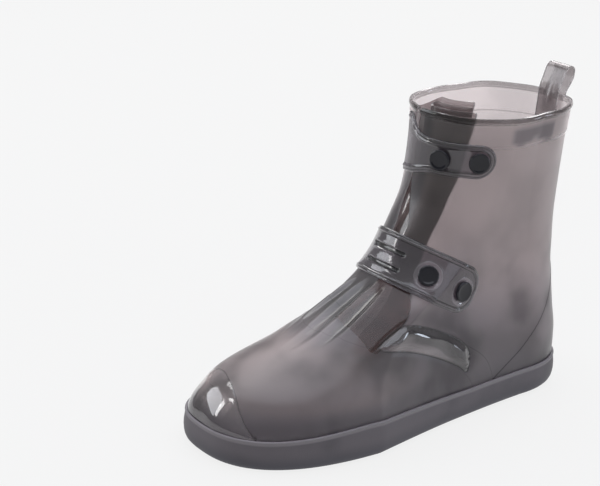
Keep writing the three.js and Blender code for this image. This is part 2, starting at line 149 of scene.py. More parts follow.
floor_mesh = bpy.data.meshes.new("floor")
FLOOR_HALF, FLOOR_DROP = 6.0, -0.0005
square = ((-1, -1), (1, -1), (1, 1), (-1, 1))
floor_corners = [(x * FLOOR_HALF, y * FLOOR_HALF, FLOOR_DROP) for x, y in square]
floor_mesh.from_pydata(floor_corners, [], [(0, 1, 2, 3)])
floor = bpy.data.objects.new("floor", floor_mesh)
bpy.context.scene.collection.objects.link(floor)
floor_paint = bpy.data.materials.new("white_sweep_paper")
floor_paint.use_nodes = True
paper = floor_paint.node_tree.nodes["Principled BSDF"]
paper.inputs["Base Color"].default_value = (0.06, 0.06, 0.06, 1.0)
paper.inputs["Roughness"].default_value = 0.9
paper.inputs["Specular IOR Level"].default_value = 0.0
paper.inputs["Emission Color"].default_value = (1.0, 1.0, 1.0, 1.0)
paper.inputs["Emission Strength"].default_value = 0.83
floor_mesh.materials.append(floor_paint)

view = bpy.context.scene.view_settings
view.view_transform = "Standard"
cycles = bpy.context.scene.cycles
cycles.max_bounces = 26
cycles.transmission_bounces = 24
cycles.glossy_bounces = 6
cycles.diffuse_bounces = 4
cycles.transparent_max_bounces = 32

# ----------------------------------------------------------------------------------------------------
# Upper.
# One injection-moulded boot of soft smoky PVC, frosted, but polished on the toe cap, the side patch and the
# pleats. A thicker band and a small lip finish the rim, and the front is cut open down to the instep. The
# outer face is a table of level sections from the sole up, in millimetres.
# ----------------------------------------------------------------------------------------------------
HALF_LENGTH = 147.5
WALL = 1.6
BAND_PROUD, LIP_PROUD = 0.7, 1.5
RIM_Z = 207.0
# z, front, back, toe squareness, heel squareness, three stations, outer half widths, inner half widths,
# toe turn
SECTIONS = np.array([
    (6, -143.5, 143.5, 2.5, 2.2, -48, 25, 95, 57.6, 44.7, 37.6, 50.3, 40.3, 38.6, -5.9),
    (20, -145, 145, 2.5, 2.2, -48, 25, 95, 58.4, 45.5, 38.4, 51.1, 41.1, 39.4, -5.9),
    (40, -134.4, 143.9, 2.2, 2.2, -48, 27, 95, 56, 44, 39, 48, 40, 39, -6),
    (60, -91.8, 139.5, 1.85, 2.2, -38, 30, 95, 50, 41, 38, 36, 35.5, 38, -6),
    (80, -45.3, 136.3, 1.9, 2.2, -15, 35, 93, 43, 38, 37, 27, 31, 37, -4),
    (100, -11.9, 134.9, 1.95, 2.2, 20, 50, 90, 38, 37, 36, 33.6, 34.3, 36, -2),
    (125, 1.1, 134.9, 2, 2.1, 50, 66, 88, 37, 37, 36, 36, 36, 36, 0),
    (150, 14.3, 134.7, 2, 2.1, 60, 72, 86, 38, 38.5, 38, 38, 38, 38, 0),
    (180, 19.8, 135, 2, 2.1, 64, 76, 85, 41, 41.5, 41, 41, 41, 41, 0),
    (215, 21.5, 137.5, 2.1, 2.1, 66, 78, 86, 44, 44.5, 44, 44, 44.5, 44, 0),
], dtype=float)


def smooth_through(knots, values, x):
    """Shape-preserving cubic: on each span the Hermite cubic whose end slopes are the weighted harmonic
    mean of the two neighbouring chords (nought where they disagree in sign), and a three-point slope at
    the ends."""
    knots, values = np.asarray(knots, float), np.asarray(values, float)
    if values.ndim == 1:
        return smooth_through(knots, values[:, None], x)[..., 0]
    h = np.diff(knots)[:, None]
    chord = np.diff(values, axis=0) / h
    slope = np.zeros_like(values)
    w1, w2 = 2 * h[1:] + h[:-1], h[1:] + 2 * h[:-1]
    same = chord[1:] * chord[:-1] > 0
    safe = np.where(same, chord[1:] * chord[:-1], 1.0)
    weighted = w1 * chord[1:] + w2 * chord[:-1] + 1e-30 * ~same
    slope[1:-1] = np.where(same, (w1 + w2) * safe / weighted, 0.0)
    for end, near_end in ((0, 1), (-1, -2)):
        h0, h1, c0, c1 = h[end], h[near_end], chord[end], chord[near_end]
        s = ((2 * h0 + h1) * c0 - h0 * c1) / (h0 + h1)
        s = np.where(s * c0 <= 0, 0.0, s)
        slope[end] = np.where((c0 * c1 <= 0) & (np.abs(s) > 3 * np.abs(c0)), 3 * c0, s)
    q = np.clip(np.asarray(x, float), knots[0], knots[-1])
    i = np.clip(np.searchsorted(knots, q, side="right") - 1, 0, len(knots) - 2)
    t = ((q - knots[i]) / h[i, 0])[..., None]
    return ((1 + 2 * t) * (1 - t) ** 2 * values[i] + t * (1 - t) ** 2 * h[i] * slope[i]
            + t * t * (3 - 2 * t) * values[i + 1] + t * t * (t - 1) * h[i] * slope[i + 1])


def half_outline(rows, side, count):
    """Level outline from the toe round one side to the heel: a superellipse quarter up to the ball, the
    smooth width curve through ball, waist and heel, and a superellipse quarter round the heel, swung
    sideways by the toe turn times the square of the distance in front of the middle; then taken at count
    equal shares of its length."""
    z, front, rear, toe, heel, y1, y2, y3, o1, o2, o3, i1, i2, i3, swing = rows.T[:, :, None]
    w1, w2, w3 = (o1, o2, o3) if side > 0 else (i1, i2, i3)
    t = np.linspace(0, math.pi / 2, 73)[None, :]
    xf, yf = w1 * np.sin(t) ** (2 / toe), y1 + (front - y1) * np.cos(t) ** (2 / toe)
    xb, yb = w3 * np.cos(t) ** (2 / heel), y3 + (rear - y3) * np.sin(t) ** (2 / heel)
    m = np.linspace(0, 1, 42)[None, 1:-1]
    ym = y1 + (y3 - y1) * m
    c0, c1 = (w2 - w1) / (y2 - y1), (w3 - w2) / (y3 - y2)
    h0, h1 = y2 - y1, y3 - y2
    over_c0, over_c1 = 1 / np.where(c0 == 0, 1, c0), 1 / np.where(c1 == 0, 1, c1)
    harmonic = 3 * (h0 + h1) / ((2 * h1 + h0) * over_c0 + (h1 + 2 * h0) * over_c1)
    mid = np.where(c0 * c1 > 0, harmonic, 0.0)
    s0 = ((2 * h0 + h1) * c0 - h0 * c1) / (h0 + h1)
    s1 = ((2 * h1 + h0) * c1 - h1 * c0) / (h0 + h1)
    s0, s1 = np.where(s0 * c0 <= 0, 0.0, s0), np.where(s1 * c1 <= 0, 0.0, s1)
    first = ym <= y2
    u = np.where(first, (ym - y1) / h0, (ym - y2) / h1)
    h, a, b = np.where(first, h0, h1), np.where(first, w1, w2), np.where(first, w2, w3)
    sa, sb = np.where(first, s0, mid), np.where(first, mid, s1)
    xm = ((1 + 2 * u) * (1 - u) ** 2 * a + u * (1 - u) ** 2 * h * sa
          + u * u * (3 - 2 * u) * b + u * u * (u - 1) * h * sb)
    x, y = np.concatenate([xf, xm, xb], 1), np.concatenate([yf, ym, yb], 1)
    x = side * x + swing * np.clip(-y / HALF_LENGTH, 0, 1) ** 2
    run = np.concatenate([np.zeros((len(x), 1)), np.cumsum(np.hypot(np.diff(x), np.diff(y)), 1)], 1)
    share = np.linspace(0, 1, count)
    out = [[np.interp(share * r[-1], r, values) for values in (p, q)] for r, p, q in zip(run, x, y)]
    return np.array(out).transpose(0, 2, 1), run[:, -1]


# The whole outer face as one fine table: rows up the boot, columns round it by share a, which is 0 on the
# ridge over the toe, grows to 1 at the back by the outer side and falls to -1 by the inner side.
LEVELS = np.arange(6.0, 215.01, 0.5)
SHARES = 720
rows = np.column_stack([LEVELS, smooth_through(SECTIONS[:, 0], SECTIONS[:, 1:], LEVELS)])
outer_half, outer_run = half_outline(rows, 1, SHARES + 1)
inner_half, inner_run = half_outline(rows, -1, SHARES + 1)
face_xy = np.concatenate([inner_half[:, :0:-1], outer_half[:, :-1]], 1)
face = np.dstack([face_xy, np.broadcast_to(LEVELS[:, None], face_xy.shape[:2])])
along = (np.roll(face, -6, 1) - np.roll(face, 6, 1)) / 12
upward = np.gradient(face, axis=0)
face_normal = np.cross(along, upward)
face_normal /= np.linalg.norm(face_normal, axis=2, keepdims=True)


def table_at(table, a, z):
    """Bilinear value of a table laid out like the outer face, at shares a (wrapping) and heights z."""
    i = np.clip((np.asarray(z, float) - LEVELS[0]) / 0.5, 0, len(LEVELS) - 1.001)
    j = (np.asarray(a, float) + 1.0) * SHARES
    i0, j0 = np.floor(i).astype(int), np.floor(j).astype(int)
    fi, fj = i - i0, j - j0
    j0, j1 = j0 % (2 * SHARES), (j0 + 1) % (2 * SHARES)
    if table.ndim == 3:
        fi, fj = fi[..., None], fj[..., None]
    return ((1 - fi) * ((1 - fj) * table[i0, j0] + fj * table[i0, j1])
            + fi * ((1 - fj) * table[i0 + 1, j0] + fj * table[i0 + 1, j1]))


def on_skin(a, z, d=0.0):
    """Point of the outer face at share a and height z, moved out along the face's normal by d."""
    a, z, d = np.broadcast_arrays(np.asarray(a, float), np.asarray(z, float), np.asarray(d, float))
    return table_at(face, a, z) + table_at(face_normal, a, z) * d[..., None]


def true_distance(level):
    """Signed distance along the face to where a table of values crosses nought: the value over the length
    of its gradient, which is measured with the face's own first fundamental form."""
    ga = (np.roll(level, -6, 1) - np.roll(level, 6, 1)) / 12
    gz = np.gradient(level, axis=0)
    e, f, g = (along ** 2).sum(2), (along * upward).sum(2), (upward ** 2).sum(2)
    area = np.maximum(e * g - f * f, 1e-9)
    steepness = (g * ga ** 2 - 2 * f * ga * gz + e * gz ** 2) / area
    return level / np.sqrt(np.maximum(steepness, 1e-8))


def step(x, low, high):
    """Smooth rise from 0 at low to 1 at high."""
    t = np.clip((x - low) / (high - low), 0, 1)
    return t * t * (3 - 2 * t)


def outline_distance(y, z, corners):
    """Signed distance to a closed polygon in the Y-Z plane, positive inside: the least distance to its
    sides, with the sign from how many sides a level ray crosses."""
    best, inside = np.full(np.shape(y), 1e9), np.zeros(np.shape(y), bool)
    for (y0, z0), (y1, z1) in zip(corners, np.roll(corners, -1, 0)):
        length = (y1 - y0) ** 2 + (z1 - z0) ** 2
        t = np.clip(((y - y0) * (y1 - y0) + (z - z0) * (z1 - z0)) / length, 0, 1)
        best = np.minimum(best, np.hypot(y - y0 - t * (y1 - y0), z - z0 - t * (z1 - z0)))
        if z0 != z1:
            inside ^= ((z0 > z) != (z1 > z)) & (y < y0 + (z - z0) * (y1 - y0) / (z1 - z0))
    return np.where(inside, best, -best)


def rounded_corners(corners, cuts=3):
    """Corner cutting: each side keeps its middle half, three times over, which rounds a polygon."""
    p = np.asarray(corners, float)
    for _ in range(cuts):
        q = np.roll(p, -1, 0)
        p = np.stack([0.75 * p + 0.25 * q, 0.25 * p + 0.75 * q], 1).reshape(-1, 2)
    return p


share_grid = np.broadcast_to(np.arange(2 * SHARES) / SHARES - 1, face.shape[:2])
X, Y, Z = face[..., 0], face[..., 1], face[..., 2]
# Edge of the polished toe cap: its height over the share round the toe.
CAP_SHARES = [-0.19, -0.155, -0.13, -0.1, -0.065, -0.03, 0.005, 0.045, 0.077, 0.101, 0.13]
CAP_HEIGHTS = [18, 28, 34, 41, 45.5, 47, 46, 42.2, 34.5, 28, 20]
cap_edge = smooth_through(CAP_SHARES, CAP_HEIGHTS, share_grid)
cap_edge = np.where((share_grid < CAP_SHARES[0]) | (share_grid > CAP_SHARES[-1]), 0.0, cap_edge)
cap_in = true_distance(cap_edge - Z)
# Seam of the heel counter, the same on both sides.
SEAM_SHARES = [0.66, 0.7, 0.731, 0.772, 0.805, 0.83, 0.85, 0.875, 0.92, 1.0]
SEAM_HEIGHTS = [8, 20, 27, 37, 50, 62, 73, 84, 95, 101]
seam = smooth_through(SEAM_SHARES, SEAM_HEIGHTS, np.abs(share_grid))
counter_in = true_distance(np.where(np.abs(share_grid) < SEAM_SHARES[0], 4.0, seam) - Z)
# Side panel between two long curved edges, Y and Z, and the buckled polished patch on the outer side.
UPPER_EDGE = np.array([(-60, 84), (-42, 82), (-21.9, 77.6), (-5, 74.5), (11.5, 67.1), (26, 59.6),
                       (38.2, 50.8), (50.7, 42), (56.1, 36.2), (63, 22), (66, 10)])
LOWER_EDGE = np.array([(-60, 71), (-38.5, 65.4), (-18.4, 60.7), (3.4, 52.1), (18.1, 44.1), (32.3, 34.4),
                       (40, 25.8), (44, 18), (46, 10)])
upper_line = true_distance(smooth_through(*UPPER_EDGE.T, Y) - Z)
lower_line = true_distance(Z - smooth_through(*LOWER_EDGE.T, Y))
PATCH = rounded_corners([(-45, 67.5), (-38, 71.5), (-24, 78.2), (-18, 78.5), (-3, 73.5), (12, 67), (26, 59.4),
                         (35, 52.5), (38.5, 47), (38, 34.5), (35.5, 33.0), (31, 38.2), (18, 45.5), (3, 53),
                         (-18, 61.5), (-34, 65.5)], 2)
patch_in = np.where(X > 0, outline_distance(Y, Z, PATCH), -30.0)
# The bellows folded behind the wall, in millimetres round the wall from the ridge:
# z, front fold, rear fold, start of the free layer (along the wall from the ridge), rise of the free layer
TUCK = np.array([(67, 46, 58, 43.5, 0), (74, 31, 55.5, 28.5, 0), (82, 27, 50, 24.5, 0), (91, 21, 37, 18.5, 0),
                 (100, 14, 28, 10.5, 0), (110, 8, 25, -2, 0.5), (120, 6.5, 24.7, -11, 1),
                 (134, 5.5, 24.6, -13, 1), (148, 5, 25, -14, 1), (166, 4.5, 29, -14, 1),
                 (186, 4.5, 32, -14, 1), (206.5, 4.5, 36.5, -14, 1)], float)
# Lower end of the folded bellows, where the wall over it is left clear.
TUCK_END = [(-50.5, 76), (-49.5, 66.8), (-46, 65.2), (-21.7, 79.8), (-12.4, 88), (-6, 97), (-14, 106),
            (-32, 100), (-45, 88)]
clear_in = np.where(X > 5, outline_distance(Y, Z, np.array(TUCK_END, float)), -30.0)
# Pleats on the instep: ridges that fan out under the instep strap and close towards the toe in a leaf
# shape.
LEAF_Y = [-100, -92, -86, -76, -64, -51, -37, -22, -15, 8]
LEAF_HALF = [2, 10, 17, 23.5, 27, 27.5, 26, 22.5, 20, 17]
SLOPE_Y, SLOPE_Z = 0.4605, 0.8877  # direction in which the instep rises
across = (X + 2.0 + 0.03 * (Y + 40)) / smooth_through(LEAF_Y, LEAF_HALF, Y)
up_ridge = Y * SLOPE_Y + Z * SLOPE_Z
pleat_zone = step(Y, -92, -38) * (1 - step(up_ridge, 66, 78)) * (1 - step(np.abs(across), 0.66, 1.1))
pleat_zone = pleat_zone * step(Z, 50, 72) * (Z < 122)
ridge = 0.5 + 0.5 * np.cos(2 * math.pi * (across * 2.05 + 0.12 + 0.1 * np.sin((Y + 60) / 21)))
pleats = pleat_zone * (ridge ** 2.0 - 0.3)

# Front opening: height and the X of its inner-side and outer-side edges, turned into shares of the outline.
SLIT_FOOT = 108
SLIT = np.array([(SLIT_FOOT, -0.5, 0.5), (112, -3, 5.8), (120, -4.2, 7.2), (129, -5, 7.5), (146, -10.5, -0.3),
                 (160, -8, -4.6), (180, -9.5, -5), (215, -9, -3.5)], float)
near = np.abs(SHARES + np.arange(-130, 131))
edge_in, edge_out = smooth_through(SLIT[:, 0], SLIT[:, 1:], LEVELS).T
slit_share = np.array([np.interp((p, q), row[near, 0], near / SHARES - 1)
                       for p, q, row in zip(edge_in, edge_out, face)])
whole = LEVELS <= SLIT_FOOT
slit_share[whole] = slit_share[whole].mean(1)[-1]


def wall_faces(cols, rows_, joined):
    """Quads of a wall whose two skins are grids of cols by rows_: both skins, the bottom and top edges,
    and the two ends above the rows at which they are joined. Points are numbered column by column, front
    skin first."""
    n = cols * rows_
    corner = np.arange(cols - 1)[:, None] * rows_ + np.arange(rows_ - 1)
    front = np.stack([corner, corner + rows_, corner + rows_ + 1, corner + 1], -1).reshape(-1, 4)
    low = np.arange(cols - 1) * rows_
    foot = np.stack([low, n + low, n + low + rows_, low + rows_], -1)
    top = np.stack([low, low + rows_, n + low + rows_, n + low], -1) + rows_ - 1
    j = np.arange(joined, rows_ - 1)
    first_end = np.stack([j, j + 1, n + j + 1, n + j], -1)
    last_end = np.stack([j, n + j, n + j + 1, j + 1], -1) + (cols - 1) * rows_
    return np.concatenate([front, front[:, ::-1] + n, foot, top, first_end, last_end])


def build_piece(name, points, quads, values=None, crease=40.0, merge=None):
    """Mesh object from points in millimetres and quads, with named per-point values, smooth shading that
    breaks at edges sharper than crease degrees, points closer than merge joined, and faces turned to the
    outside."""
    points = np.asarray(points, float).reshape(-1, 3)
    a, b, c, d = (points[quads[:, k]] for k in range(4))
    if np.einsum("ij,ij->", a, np.cross(b, c)) + np.einsum("ij,ij->", a, np.cross(c, d)) < 0:
        quads = quads[:, ::-1]
    mesh = bpy.data.meshes.new(name)
    mesh.vertices.add(len(points))
    mesh.vertices.foreach_set("co", (points * MM).ravel())
    mesh.loops.add(quads.size)
    mesh.loops.foreach_set("vertex_index", np.ascontiguousarray(quads, dtype=np.int32).ravel())
    mesh.polygons.add(len(quads))
    mesh.polygons.foreach_set("loop_start", np.arange(0, quads.size, 4, dtype=np.int32))
    for key, value in (values or {}).items():
        carry(mesh, key, value)
    mesh.update(calc_edges=True)
    mesh.validate()
    if merge:
        bm = bmesh.new()
        bm.from_mesh(mesh)
        bmesh.ops.remove_doubles(bm, verts=bm.verts, dist=merge * MM)
        bm.to_mesh(mesh)
        bm.free()
    mesh.polygons.foreach_set("use_smooth", np.ones(len(mesh.polygons), bool))
    mesh.set_sharp_from_angle(angle=math.radians(crease))
    piece = bpy.data.objects.new(name, mesh)
    bpy.context.scene.collection.objects.link(piece)
    return piece


def carry(mesh, key, value):
    """Give a mesh's points a value each under a name that its material can read."""
    attribute = mesh.attributes.new(key, "FLOAT", "POINT")
    attribute.data.foreach_set("value", np.asarray(value, np.float32).ravel())


def build_wall(name, skins, values=None, joined=0, **more):
    """Piece made of the wall between two skins, each a grid of points; one skin's values serve both."""
    cols, rows_ = skins[0].shape[:2]
    spread = {key: np.resize(value, 2 * cols * rows_) for key, value in (values or {}).items()}
    return build_piece(name, np.array(skins), wall_faces(cols, rows_, joined), spread, **more)


# Columns crowd towards the front, where the pleats and the opening are; rows crowd at the cap, band and
# lip.
turn_share = np.linspace(0, 1, 411)
crowd = turn_share - 0.62 * np.sin(2 * math.pi * turn_share) / (2 * math.pi)
heights = np.concatenate([
    np.linspace(6.35, 19, 4), np.linspace(20, 50, 36), np.linspace(50.9, 98, 33), np.linspace(100, 185.5, 20),
    [186.4, 186.8, 187.1, 187.5, 188.2], np.linspace(191, 202, 4),
    [202.9, 203.3, 203.7, 204.2, 205.2, 206.2, 206.8, 207.0]])
start = np.interp(heights, LEVELS, slit_share[:, 1])
end = np.interp(heights, LEVELS, slit_share[:, 0]) + 2.0
a_grid = start + (end - start) * crowd[:, None]
a_grid = np.where(a_grid > 1, a_grid - 2, a_grid)
z_grid = np.broadcast_to(heights, a_grid.shape)
cap_at, counter_at, patch_at, upper_at, lower_at, clear_at = (
    table_at(t, a_grid, z_grid) for t in (cap_in, counter_in, patch_in, upper_line, lower_line, clear_in))
pleat_at, zone_at, ridge_at, climb_at, x_at, y_at = (
    table_at(t, a_grid, z_grid) for t in (pleats, pleat_zone, ridge, up_ridge, X, Y))
on_cap = step(cap_at, 0.0, 5.0)
pillow = step(patch_at, 0.0, 6.0)
proud = BAND_PROUD * step(z_grid, 186.4, 187.5) + (LIP_PROUD - BAND_PROUD) * step(z_grid, 202.9, 204.2)
proud = proud - 0.9 * step(z_grid, 205.2, 207.0) ** 2
proud = proud + 0.45 * step(cap_at, -0.6, 0.9) + 0.5 * step(counter_at, -0.7, 0.8)
proud = proud + 2.4 * pleat_at
ripples = 0.22 * np.sin(x_at / 4.6 + 0.05 * z_grid) + 0.22 * np.sin(z_grid / 4.4 + x_at / 9.0)
proud = proud + on_cap * ripples
proud = proud + 2.0 * pillow * (0.75 + 0.25 * np.cos(y_at / 5.5))
proud = proud - 0.9 * np.exp(-(patch_at / 1.5) ** 2) * (patch_at > -20)
proud = proud + 0.35 * step(np.minimum(upper_at, lower_at), -0.8, 0.8) * (z_grid > 20)
# The empty shaft isn't quite true: it waves and lifts a little towards the rim.
slack = step(z_grid, 120, 207)
wave = slack * (0.5 * np.sin(5 * math.pi * a_grid + 0.6) + 0.25 * np.sin(9 * math.pi * a_grid + 2.1))
sway = 0.45 * np.sin(3 * math.pi * a_grid + 1.2) + 0.15 * np.sin(8 * math.pi * a_grid)
lift = (slack * sway * step(z_grid, 150, 207))[..., None] * np.array([0, 0, 1.0])
at_rim = (z_grid >= 206.99)[..., None] * np.array([0, 0, 1], bool)
outside = np.where(at_rim, RIM_Z, on_skin(a_grid, z_grid, proud + wave)) + lift
wall_depth = -WALL + 0.55 * step(z_grid, 205.6, 207.0) ** 2
inside = np.where(at_rim, RIM_Z, on_skin(a_grid, z_grid, wall_depth + wave)) + lift
outer_length, inner_length = np.interp(heights, LEVELS, outer_run), np.interp(heights, LEVELS, inner_run)
ridge_gap = a_grid * np.where(a_grid > 0, outer_length, inner_length)
# How much light the wall lets through beside the plain shaft, with light and shade painted into it;
# each step below says which.
# Painted shade: darker over the foot.
tone = 1 - 0.4 * (1 - step(z_grid, 58, 118))
# Painted sheen: lighter over the top of the foot towards the toe.
tone = tone + 0.5 * step(-y_at, 0, 60) * (1 - step(z_grid, 60, 75)) * step(z_grid, 28, 42)
# Painted shade: darker near the sole.
tone = tone * (1 - 0.3 * (1 - step(z_grid, 22, 44)))
# Painted shade: darker down the front below the opening.
tone = tone * (1 - 0.62 * (1 - step(np.abs(ridge_gap + 6), 9, 17)) * step(z_grid, 80, 104))
# Painted reflection: a dark patch with a wavy lower edge is painted in the band at the outer back.
band_dark_reflection = step(a_grid, 0.37, 0.41) * (1 - step(a_grid, 0.61, 0.63)) * (1 - step(z_grid, 198, 201))
band_dark_reflection = band_dark_reflection * step(z_grid - 1.6 * np.sin(a_grid * 40), 188.5, 190.5)
tone = tone * (1 - 0.7 * band_dark_reflection)
# Painted shade: darker on the instep below the strap.
tone = tone * (1 - 0.55 * step(climb_at, 8, 58) * (1 - step(np.abs(ridge_gap), 24, 46)) * (z_grid < 112))
# Darker round a spot on each side, about 74 mm up and a little behind the middle.
tone = tone * (1 - 0.45 * np.exp(-((y_at - 15) / 30) ** 2 - ((z_grid - 74) / 17) ** 2))
# The clear toe cap is lighter.
tone = tone * (1 + 0.3 * step(cap_at, -0.5, 0.5))
# Painted light: lighter on the inner side and the back below the rim, where these walls are seen lit inside the
# mouth.
tone = tone * (1 + 1.2 * step(z_grid, 160, 192) * (1 - step(np.where(a_grid > 0, 1 - a_grid, 0), 0.2, 0.32)))
# Painted shade: darker in the grooves between the pleats.
tone = tone * (1 - 0.7 * zone_at * (1 - ridge_at))
# Where the wall lies against the bellows, from the edge of the opening to the rear fold.
tuck_edge = smooth_through(TUCK[:, 0], TUCK[:, 2], heights) + 1.0
backed = np.where(z_grid > 76, np.minimum(tuck_edge - ridge_gap, ridge_gap + 22), -30.0)
upper = build_wall("upper_shell", (outside, inside), {
    "cap": cap_at, "counter": counter_at, "patch": patch_at, "panel_top": upper_at, "panel_low": lower_at,
    "pleat": zone_at, "height": z_grid, "tone": tone, "clear": clear_at, "backed": backed,
    "lining": np.repeat([0.0, 1.0], a_grid.size)}, np.sum(heights <= SLIT_FOOT) - 1, crease=38.0, merge=0.02)


def with_inputs(node, values):
    """The same node, with its inputs set to the values named."""
    for key, value in values.items():
        node.inputs[key].default_value = value
    return node


def clouds_group():
    """Node group: soft clouds and fine grain of blasted, smoky PVC. Clouds are low-frequency noise in
    object space, grain is high-frequency noise; it puts out the tint, the roughness and the height for a
    bump."""
    g = bpy.data.node_groups.new("smoky_pvc_variation", "ShaderNodeTree")
    colour, number = "NodeSocketColor", "NodeSocketFloat"
    for key, kind, value in (
            ("Tint", colour, (0.5, 0.48, 0.48, 1)), ("Cloud Tint", colour, (0.6, 0.55, 0.55, 1)),
            ("Cloud Amount", number, 0.5), ("Roughness", number, 0.35), ("Roughness Spread", number, 0.05)):
        g.interface.new_socket(name=key, in_out="INPUT", socket_type=kind).default_value = value
    for key, kind in (("Color", colour), ("Roughness", number), ("Height", number)):
        g.interface.new_socket(name=key, in_out="OUTPUT", socket_type=kind)
    n, l = g.nodes, g.links
    gin, gout = n.new("NodeGroupInput"), n.new("NodeGroupOutput")
    co = n.new("ShaderNodeTexCoord")
    cloud = with_inputs(n.new("ShaderNodeTexNoise"),
                        {"Scale": 21.0, "Detail": 2.5, "Roughness": 0.5, "Distortion": 0.0})
    grain = with_inputs(n.new("ShaderNodeTexNoise"), {"Scale": 900.0, "Detail": 2.0})
    ramp = with_inputs(n.new("ShaderNodeMapRange"), {"From Min": 0.36, "From Max": 0.62})
    ramp.interpolation_type = "SMOOTHSTEP"
    amount, spread, mix = n.new("ShaderNodeMath"), n.new("ShaderNodeMath"), n.new("ShaderNodeMix")
    amount.operation = "MULTIPLY"
    spread.operation = "MULTIPLY_ADD"
    mix.data_type = "RGBA"
    for source, target in (
            (co.outputs["Object"], cloud.inputs["Vector"]), (co.outputs["Object"], grain.inputs["Vector"]),
            (cloud.outputs["Fac"], ramp.inputs["Value"]), (ramp.outputs["Result"], amount.inputs[0]),
            (gin.outputs["Cloud Amount"], amount.inputs[1]), (amount.outputs[0], mix.inputs["Factor"]),
            (gin.outputs["Tint"], mix.inputs[6]), (gin.outputs["Cloud Tint"], mix.inputs[7]),
            (ramp.outputs["Result"], spread.inputs[0]), (gin.outputs["Roughness Spread"], spread.inputs[1]),
            (gin.outputs["Roughness"], spread.inputs[2]), (mix.outputs[2], gout.inputs["Color"]),
            (spread.outputs[0], gout.inputs["Roughness"]), (grain.outputs["Fac"], gout.inputs["Height"])):
        l.new(source, target)
    return g


smoky_variation = clouds_group()


def clear_pvc(name, tint, cloud_tint, cloud_amount, frost, see_through, grain=0.15, light_pass=0.16):
    """Material: soft clear PVC. A Principled surface that transmits see_through of the light through a
    smoky tint, with its frost as roughness and its clouds and grain from the shared group; light_pass is
    how much of each face blocks a shadow ray, so light reaches the inside as it does through thin
    plastic."""
    m = bpy.data.materials.new(name)
    m.use_nodes = True
    n, l = m.node_tree.nodes, m.node_tree.links
    p = with_inputs(n["Principled BSDF"], {"IOR": 1.45, "Transmission Weight": see_through})
    v = n.new("ShaderNodeGroup")
    v.node_tree = smoky_variation
    with_inputs(v, {"Tint": (*tint, 1), "Cloud Tint": (*cloud_tint, 1), "Cloud Amount": cloud_amount,
                    "Roughness": frost})
    l.new(v.outputs["Color"], p.inputs["Base Color"])
    l.new(v.outputs["Roughness"], p.inputs["Roughness"])
    bump = with_inputs(n.new("ShaderNodeBump"), {"Strength": grain, "Distance": 0.0002})
    l.new(v.outputs["Height"], bump.inputs["Height"])
    l.new(bump.outputs["Normal"], p.inputs["Normal"])
    rays = n.new("ShaderNodeLightPath")
    shadow = with_inputs(n.new("ShaderNodeMapRange"), {"To Min": 1.0, "To Max": light_pass})
    l.new(rays.outputs["Is Shadow Ray"], shadow.inputs["Value"])
    l.new(shadow.outputs["Result"], p.inputs["Alpha"])
    return m, p, v, bump


# The foot's wall is the more clouded; over the shaft the clouds are faint.
shell_pvc, shell_bsdf, shell_variation, shell_bump = clear_pvc(
    "smoky_pvc_shell", (0.29, 0.25, 0.262), (0.9, 0.765, 0.755), 0.8, 0.29, 0.93)
n, l = shell_pvc.node_tree.nodes, shell_pvc.node_tree.links


def measured(name):
    """Value carried by the mesh's points under that name."""
    a = n.new("ShaderNodeAttribute")
    a.attribute_name = name
    return a.outputs["Fac"]


def ramp_between(value, low, high, at_low=0.0, at_high=1.0):
    """Smooth change from one value to another while the input goes from low to high."""
    limits = {"From Min": low, "From Max": high, "To Min": at_low, "To Max": at_high}
    r = with_inputs(n.new("ShaderNodeMapRange"), limits)
    r.interpolation_type = "SMOOTHSTEP"
    l.new(value, r.inputs["Value"])
    return r.outputs["Result"]


def sums(kind, first, second):
    """One arithmetic step on two values, either of which may be a plain number."""
    q = n.new("ShaderNodeMath")
    q.operation = kind
    for k, value in enumerate((first, second)):
        if isinstance(value, (int, float)):
            q.inputs[k].default_value = value
        else:
            l.new(value, q.inputs[k])
    return q.outputs[0]


def line_at(distance, half_width):
    """1 along the place where a signed distance is nought, falling smoothly to 0 at half_width."""
    return ramp_between(sums("ABSOLUTE", distance, 0.0), 0.15 * half_width, half_width, 1.0, 0.0)


def blend(factor, first, second, kind="MIX"):
    """Two colours mixed by a factor, or multiplied in its measure; each may be a node's value or plain."""
    q = n.new("ShaderNodeMix")
    q.data_type, q.blend_type = "RGBA", kind
    for k, value in ((0, factor), (6, first), (7, second)):
        if isinstance(value, bpy.types.NodeSocket):
            l.new(value, q.inputs[k])
        else:
            q.inputs[k].default_value = value if k == 0 else (*value, 1)
    return q.outputs[2]


height, cap_d, counter_d, patch_d, top_d, low_d, tone_and_painted_light, clear_d = (
    measured(k) for k in ("height", "cap", "counter", "patch", "panel_top", "panel_low", "tone", "clear"))
foot_to_shaft = blend(ramp_between(height, 75.0, 135.0), (0.272, 0.23, 0.236), (0.43, 0.378, 0.382))
l.new(foot_to_shaft, shell_variation.inputs["Tint"])
l.new(ramp_between(height, 75.0, 135.0, 0.8, 0.34), shell_variation.inputs["Cloud Amount"])
glossy = sums("MAXIMUM", ramp_between(cap_d, -0.3, 0.5), ramp_between(patch_d, -0.5, 0.6))
cleared = ramp_between(clear_d, -0.5, 0.5)
polished = sums("MAXIMUM", glossy, sums("MULTIPLY", cleared, 0.8))
polished = sums("MAXIMUM", polished, ramp_between(height, 202.0, 203.5))
polished = sums("MAXIMUM", polished, sums("MULTIPLY", line_at(sums("SUBTRACT", height, 187.0), 2.4), 0.6))
grooves = line_at(counter_d, 0.8)
for distance, half_width, depth in (
        (cap_d, 0.8, 0.7), (top_d, 0.7, 0.55), (low_d, 0.7, 0.4),
        (sums("SUBTRACT", height, 186.9), 0.8, 0.7), (sums("SUBTRACT", height, 203.3), 0.9, 1.0)):
    grooves = sums("MAXIMUM", grooves, sums("MULTIPLY", line_at(distance, half_width), depth))
